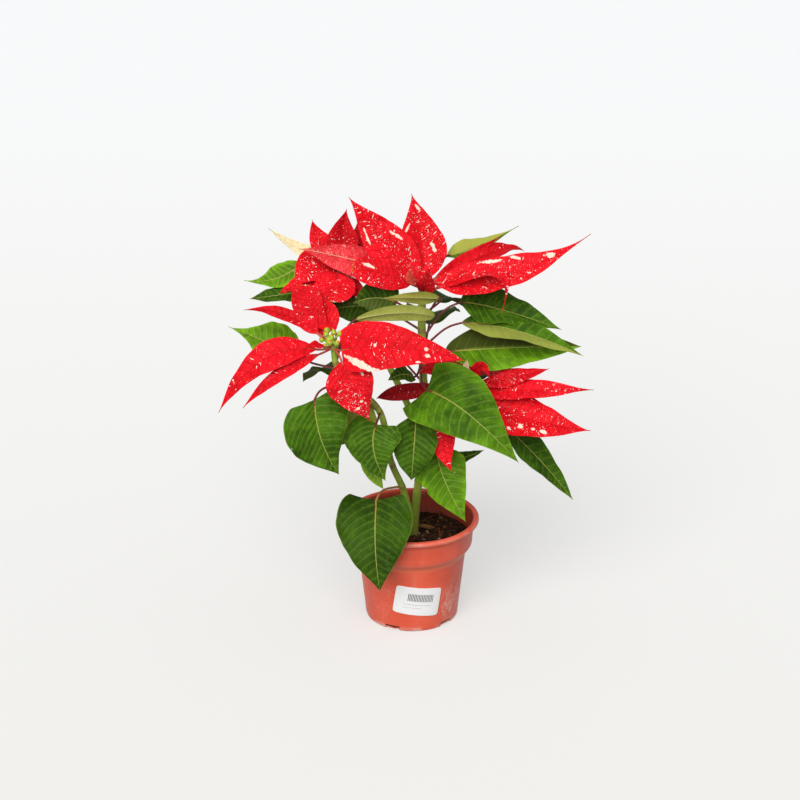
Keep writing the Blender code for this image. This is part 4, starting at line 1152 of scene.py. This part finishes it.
print("marks:", ", ".join(MARKS))

# %% [markdown]
# ## Stems and stalks
#
# A stem is a round tube along a smooth line that thins towards its top. Where a
# leaf left it, it swells a little and carries a scar. Leaf stalks are thinner,
# curved, and dark red on this plant, and each runs on under its leaf.

# %% Tubes
def smooth_line(points, steps):
    """Points of a Catmull-Rom curve through the given ones, all spans at once."""
    p = np.array(points, float)
    p = np.concatenate((2 * p[:1] - p[1:2], p, 2 * p[-1:] - p[-2:-1]))
    t = np.linspace(0.0, 1.0, steps, endpoint=False)[None, :, None]
    a, b, c, d = (p[index:len(p) - 3 + index, None] for index in range(4))
    line = 0.5 * (2 * b + (c - a) * t + (2 * a - 5 * b + 4 * c - d) * t ** 2 + (3 * b - a - 3 * c + d) * t ** 3)
    return np.concatenate((line.reshape(-1, 3), p[-2:-1]))


def tube(line, radius, sides):
    """Points and faces of a closed tube of rings square to a line, and each point's share along it."""
    line = np.asarray(line, float)
    radius = np.broadcast_to(radius, len(line)).astype(float)
    along = unit(np.gradient(line, axis=0))
    least = np.eye(3)[np.argmin(np.abs(along).mean(0))]
    first = unit(np.cross(along, least))
    second = np.cross(along, first)
    line = np.concatenate((line[:1], line, line[-1:]))
    radius = np.concatenate(((0.02,), radius, (0.02,)))
    first = np.concatenate((first[:1], first, first[-1:]))
    second = np.concatenate((second[:1], second, second[-1:]))
    a = circle(sides)[..., None]
    ring = first[:, None] * np.cos(a) + second[:, None] * np.sin(a)
    points = line[:, None] + ring * radius[:, None, None]
    share = np.repeat(np.linspace(0.0, 1.0, len(line)), sides)
    return points.reshape(-1, 3), closed_faces(len(line), sides), share


def marked(shape, value):
    """A tube with one value on all its points, in place of the share along it."""
    points, faces, _ = shape
    return points, faces, np.full(len(points), float(value))


# %% Stem and stalk finishes
def stem_finish():
    skin = Finish("green_stem")
    place = skin.place()
    cloud = skin.noise(place, 70.0, 4.0)
    stripe = skin.noise(skin.scaled(place, (900.0, 900.0, 40.0)), 1.0, 3.0)
    woody = skin.parts(place)[2].fall(0.075, 0.135) * (0.5 + 0.4 * cloud)
    pore = skin.cells(skin.scaled(place, (520.0, 520.0, 260.0)), 1.0).fall(0.14, 0.24)
    scar = skin.attribute("scar", "Fac")
    colour = skin.paint(
        (0.20, 0.33, 0.014), (cloud.step(0.3, 0.7), (0.38, 0.50, 0.035)),
        (stripe.step(0.4, 0.7) * 0.35, (0.50, 0.58, 0.09)), (woody, (0.13, 0.12, 0.03)),
        (pore * 0.5, (0.42, 0.40, 0.20)), (scar.step(0.35, 0.8) * 0.65, (0.26, 0.13, 0.05)))
    skin.set(Base_Color=colour, Roughness=0.42 + 0.15 * cloud, Normal=skin.bump(stripe + scar, 0.0003, 0.6))
    return skin


def stalk_finish():
    """Dark red for a tint of 0, pink for 1, and green from 1.6 up. All are greener where they start."""
    skin = Finish("red_leaf_stalk")
    share, tint = skin.parts(skin.attribute("stalk"))[:2]
    cloud = skin.noise(skin.place(), 90.0, 3.0)
    tone = cloud.step(0.3, 0.7)
    red = skin.mix(tone, (0.10, 0.006, 0.008), (0.24, 0.018, 0.018))
    green = skin.mix(tone, (0.20, 0.28, 0.02), (0.32, 0.36, 0.05))
    pink = skin.mix(tone, (0.40, 0.03, 0.02), (0.55, 0.10, 0.05))
    colour = skin.paint(red, (tint.step(0.45, 0.55), pink), ((tint - 1.0).step(0.0, 0.6), green),
                        (share.fall(0.0, 0.16) * 0.5, green))
    skin.set(Base_Color=colour, Roughness=0.36 + 0.12 * cloud, Normal=skin.bump(cloud, 0.0002, 0.4))
    return skin


stem_skin = stem_finish()
stalk_skin = stalk_finish()

# %% [markdown]
# The thick stems come first. The scars are a swelling in the radius at the
# height of each leaf, and the same numbers colour them.

# %% Bare stems
TRUNK_RADIUS, BRANCH_RADIUS, STEM_TAPER = 4.3, 3.4, 0.8
STEM_SIDES = 20


def bare_stem(name):
    line = smooth_line(STEMS[name], 14)
    thick = TRUNK_RADIUS if name == "top" else BRANCH_RADIUS
    heights = np.array([leaf.root for leaf in LEAVES[name]], float)
    scar = np.exp(-((line[:, 2:] - heights[None]) / 2.2) ** 2).max(1)
    radius = thick * np.linspace(1.0, STEM_TAPER, len(line)) * (0.94 + 0.06 * scar)
    points, faces, _ = tube(line, radius, STEM_SIDES)
    on_points = np.repeat(np.concatenate((scar[:1], scar, scar[-1:])), STEM_SIDES)
    return piece(name + "_stem", points, faces, stem_skin, ["stem_" + name], {"scar": on_points})


for name in STEMS:
    bare_stem(name)
print("stems:", ", ".join(STEMS))

# %% Stalks
STALK_RADIUS = 1.3
RED_ABOVE = 175


def stem_point(points, height):
    """Where a stem's middle line crosses a height."""
    points = np.array(points, float)
    return np.array([np.interp(height, points[:, 2], points[:, axis]) for axis in (0, 1, 2)])


def stalk(start, blade, tint):
    """A stalk from its start to a little way under the blade, thickest at both ends."""
    start = np.array(start, float)
    (base, inner), (along, _) = midrib(blade, np.array((0.0, 0.08)))
    bend = base - along * (0.3 * np.linalg.norm(base - start))
    middle = 0.25 * start + 0.5 * bend + 0.25 * base
    line = smooth_line((start, middle, base, inner), 9)
    share = np.linspace(0.0, 1.0, len(line))
    radius = STALK_RADIUS * (0.72 + 0.26 * (2 * share - 1) ** 4)
    radius = radius * (1 - 0.55 * np.maximum(0.0, share - 0.72) / 0.28)
    points, faces, ratio = tube(line, radius, 10)
    tints = np.full(len(ratio), tint)
    return points, faces, np.stack((ratio, tints, tints), -1)


def joined_stalks(name, parts, nodes):
    points, faces, values = stack(parts)
    return piece(name, points, faces, stalk_skin, nodes, {"stalk": values})


def leaf_tint(leaf):
    """Stalks high on the plant are dark red (0), the low ones half green (1.3)."""
    return 0.0 if leaf.root > RED_ABOVE else 1.3


for name, leaves in LEAVES.items():
    parts = [stalk(stem_point(STEMS[name], leaf.root), leaf, leaf_tint(leaf)) for leaf in leaves]
    joined_stalks(name + "_leaf_stalks", parts, ["stem_" + name])
print("leaf stalks:", sum(map(len, LEAVES.values())))

# %% [markdown]
# ## Leaves and bracts
#
# Now each row of the tables becomes its own piece.

# %% Leaves in place
def grow(kind, name, rows, thin, finish, node):
    """A piece for each row of a table."""
    for index, blade in enumerate(rows):
        look = blade.look._replace(**MARKS.get(f"{kind} {name} {blade.name}", {}))
        leaf_piece(f"{name}_{kind}_{blade.name.replace(' ', '_')}", blade, f"{kind} {name} {index}", look, thin,
                   finish, node)


for name, leaves in LEAVES.items():
    grow("leaf", name, leaves, LEAF_THIN, leaf_skin, "stem_" + name)
print("leaves done")

# %% Bracts in place
DISC_HEIGHT = 4.4
GAP = 0.3


def head_frame(name):
    """The middle of a head's disc, and the direction its stem ends in."""
    below, top = smooth_line(STEMS[name], 2)[-2:]
    upward = unit(top - below)
    return top + upward * (GAP + 0.5 * DISC_HEIGHT), upward


def disc(hub, upward):
    """The small green cushion at a stem's end that the bracts grow from."""
    u = np.linspace(-0.5, 0.5, 7)[:, None]
    radius = 3.0 + 1.5 * (u[:, 0] + 0.5) ** 0.7
    points, faces, ratio = tube(hub + upward * DISC_HEIGHT * u, radius * 0.97, 20)
    return points, faces, np.stack((ratio, np.full(len(ratio), 2.0), ratio), -1)


for name, bracts in HEADS.items():
    hub, upward = head_frame(name)
    parts = [disc(hub, upward)] + [stalk(hub, bract, 1.0) for bract in bracts]
    joined_stalks(name + "_bract_stalks", parts, ["bracts_" + name])
    grow("bract", name, bracts, BRACT_THIN, bract_skin, "bracts_" + name)
print("bracts done")

# %% [markdown]
# ## Flower buds
#
# The true flowers are the small green cups in the middle of a head. Each is an
# egg with a rim of red points at its mouth and a yellow lip on its side. One
# profile is carried round each bud's own axis, for all the buds at once.

# %% The shapes of buds
def bud_shapes(spec, seed):
    """Buds turned by the golden angle, 137.5 degrees, from one to the next, each on its own short stalk."""
    rng = random.Random(seed)
    middle = np.array(spec.middle)
    parts = []
    for index in range(spec.count):
        angle = index * math.radians(137.5)
        out = spec.spread * math.sqrt((index + 0.3) / spec.count)
        rise = 1.8 + 0.9 * out * math.sin(angle) + rng.uniform(-1.0, 1.0)
        place = middle + (1.25 * out * math.cos(angle), out * math.sin(angle), rise)
        size = spec.radius * rng.uniform(0.85, 1.1)
        root = middle + (0.4 * out * math.cos(angle), 0.4 * out * math.sin(angle), -1.0)
        lean = unit(np.array((math.cos(angle) * out, math.sin(angle) * out, 6.0)))
        share = np.linspace(0.0, 1.0, 6)[:, None]
        parts.append(marked(tube(root * (1 - share) + place * share, 0.34 * size, 8), 0))
        parts += one_bud(place, lean, size)
    return parts


def one_bud(place, lean, size):
    """An egg-shaped cup (0, and 0.6 near its mouth) with a yellow lip (1) and four red points (2)."""
    u = np.linspace(-0.98, 1.0, 14)
    radius = size * 0.97 * np.sqrt(np.maximum(0.02, 1 - np.abs(u) ** 2.3)) * (1 - 0.08 * u)
    radius[-2:] = (0.42 * size, 0.2 * size)
    cup, faces, share = tube(place + lean * (u * size * 0.97)[:, None], radius, 14)
    parts = [(cup, faces, np.where(share > 0.84, 0.6, 0.0))]
    side = unit(np.cross(lean, (0.3, 0.9, 0.1)))
    other = np.cross(lean, side)
    mouth = place + lean * size * 0.80
    lip_line = mouth + side * size * 0.55 + np.linspace(-0.34, 0.34, 5)[:, None] * other * size
    parts.append(marked(tube(lip_line, size * np.array((0.16, 0.26, 0.30, 0.26, 0.16)), 8), 1))
    for index in range(4):
        a = index * 1.7 + size
        spread = (side * math.cos(a) + other * math.sin(a)) * size
        line = np.stack((mouth + spread * 0.1, mouth + spread * 0.22 + lean * size * 0.2,
                         mouth + spread * 0.34 + lean * size * 0.30))
        parts.append(marked(tube(line, size * np.array((0.10, 0.11, 0.13)), 6), 2))
    return parts


# %% Buds in place
def bud_finish():
    skin = Finish("waxy_bud")
    place = skin.place()
    kind = skin.attribute("kind", "Fac")
    cloud = skin.noise(place, 260.0, 3.0)
    colour = skin.paint(
        (0.19, 0.36, 0.010), (cloud.step(0.3, 0.7), (0.42, 0.52, 0.03)),
        (kind.step(0.2, 0.6) * kind.fall(0.6, 0.7), (0.60, 0.52, 0.03)),
        (kind.step(0.75, 0.95) * kind.fall(1.1, 1.3), (0.80, 0.55, 0.02)),
        (kind.step(1.5, 1.8), (0.72, 0.02, 0.015)))
    skin.set(Base_Color=colour, Roughness=0.30 + 0.15 * cloud, Normal=skin.bump(cloud, 0.0002, 0.5))
    return skin


bud_skin = bud_finish()
for name, spec in BUDS.items():
    height = np.linspace(-0.4, 0.4, 6)[:, None] * np.array((0.0, 0.0, 1.1 * spec.spread))
    radius = spec.spread * 0.45 * np.array((0.5, 0.9, 1.0, 1.0, 0.85, 0.5))
    parts = [marked(tube(np.array(spec.middle) + height, radius, 16), 0)] + bud_shapes(spec, "buds " + name)
    points, faces, values = stack(parts)
    piece(name + "_buds", points, faces, bud_skin, ["buds_" + name], {"kind": values})
print("buds:", sum(spec.count for spec in BUDS.values()))

# %% Finish
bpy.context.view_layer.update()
triangles = sum(len(face.vertices) - 2 for item in made_pieces for face in item.data.polygons)
print("pieces:", len(made_pieces), " triangles:", triangles)
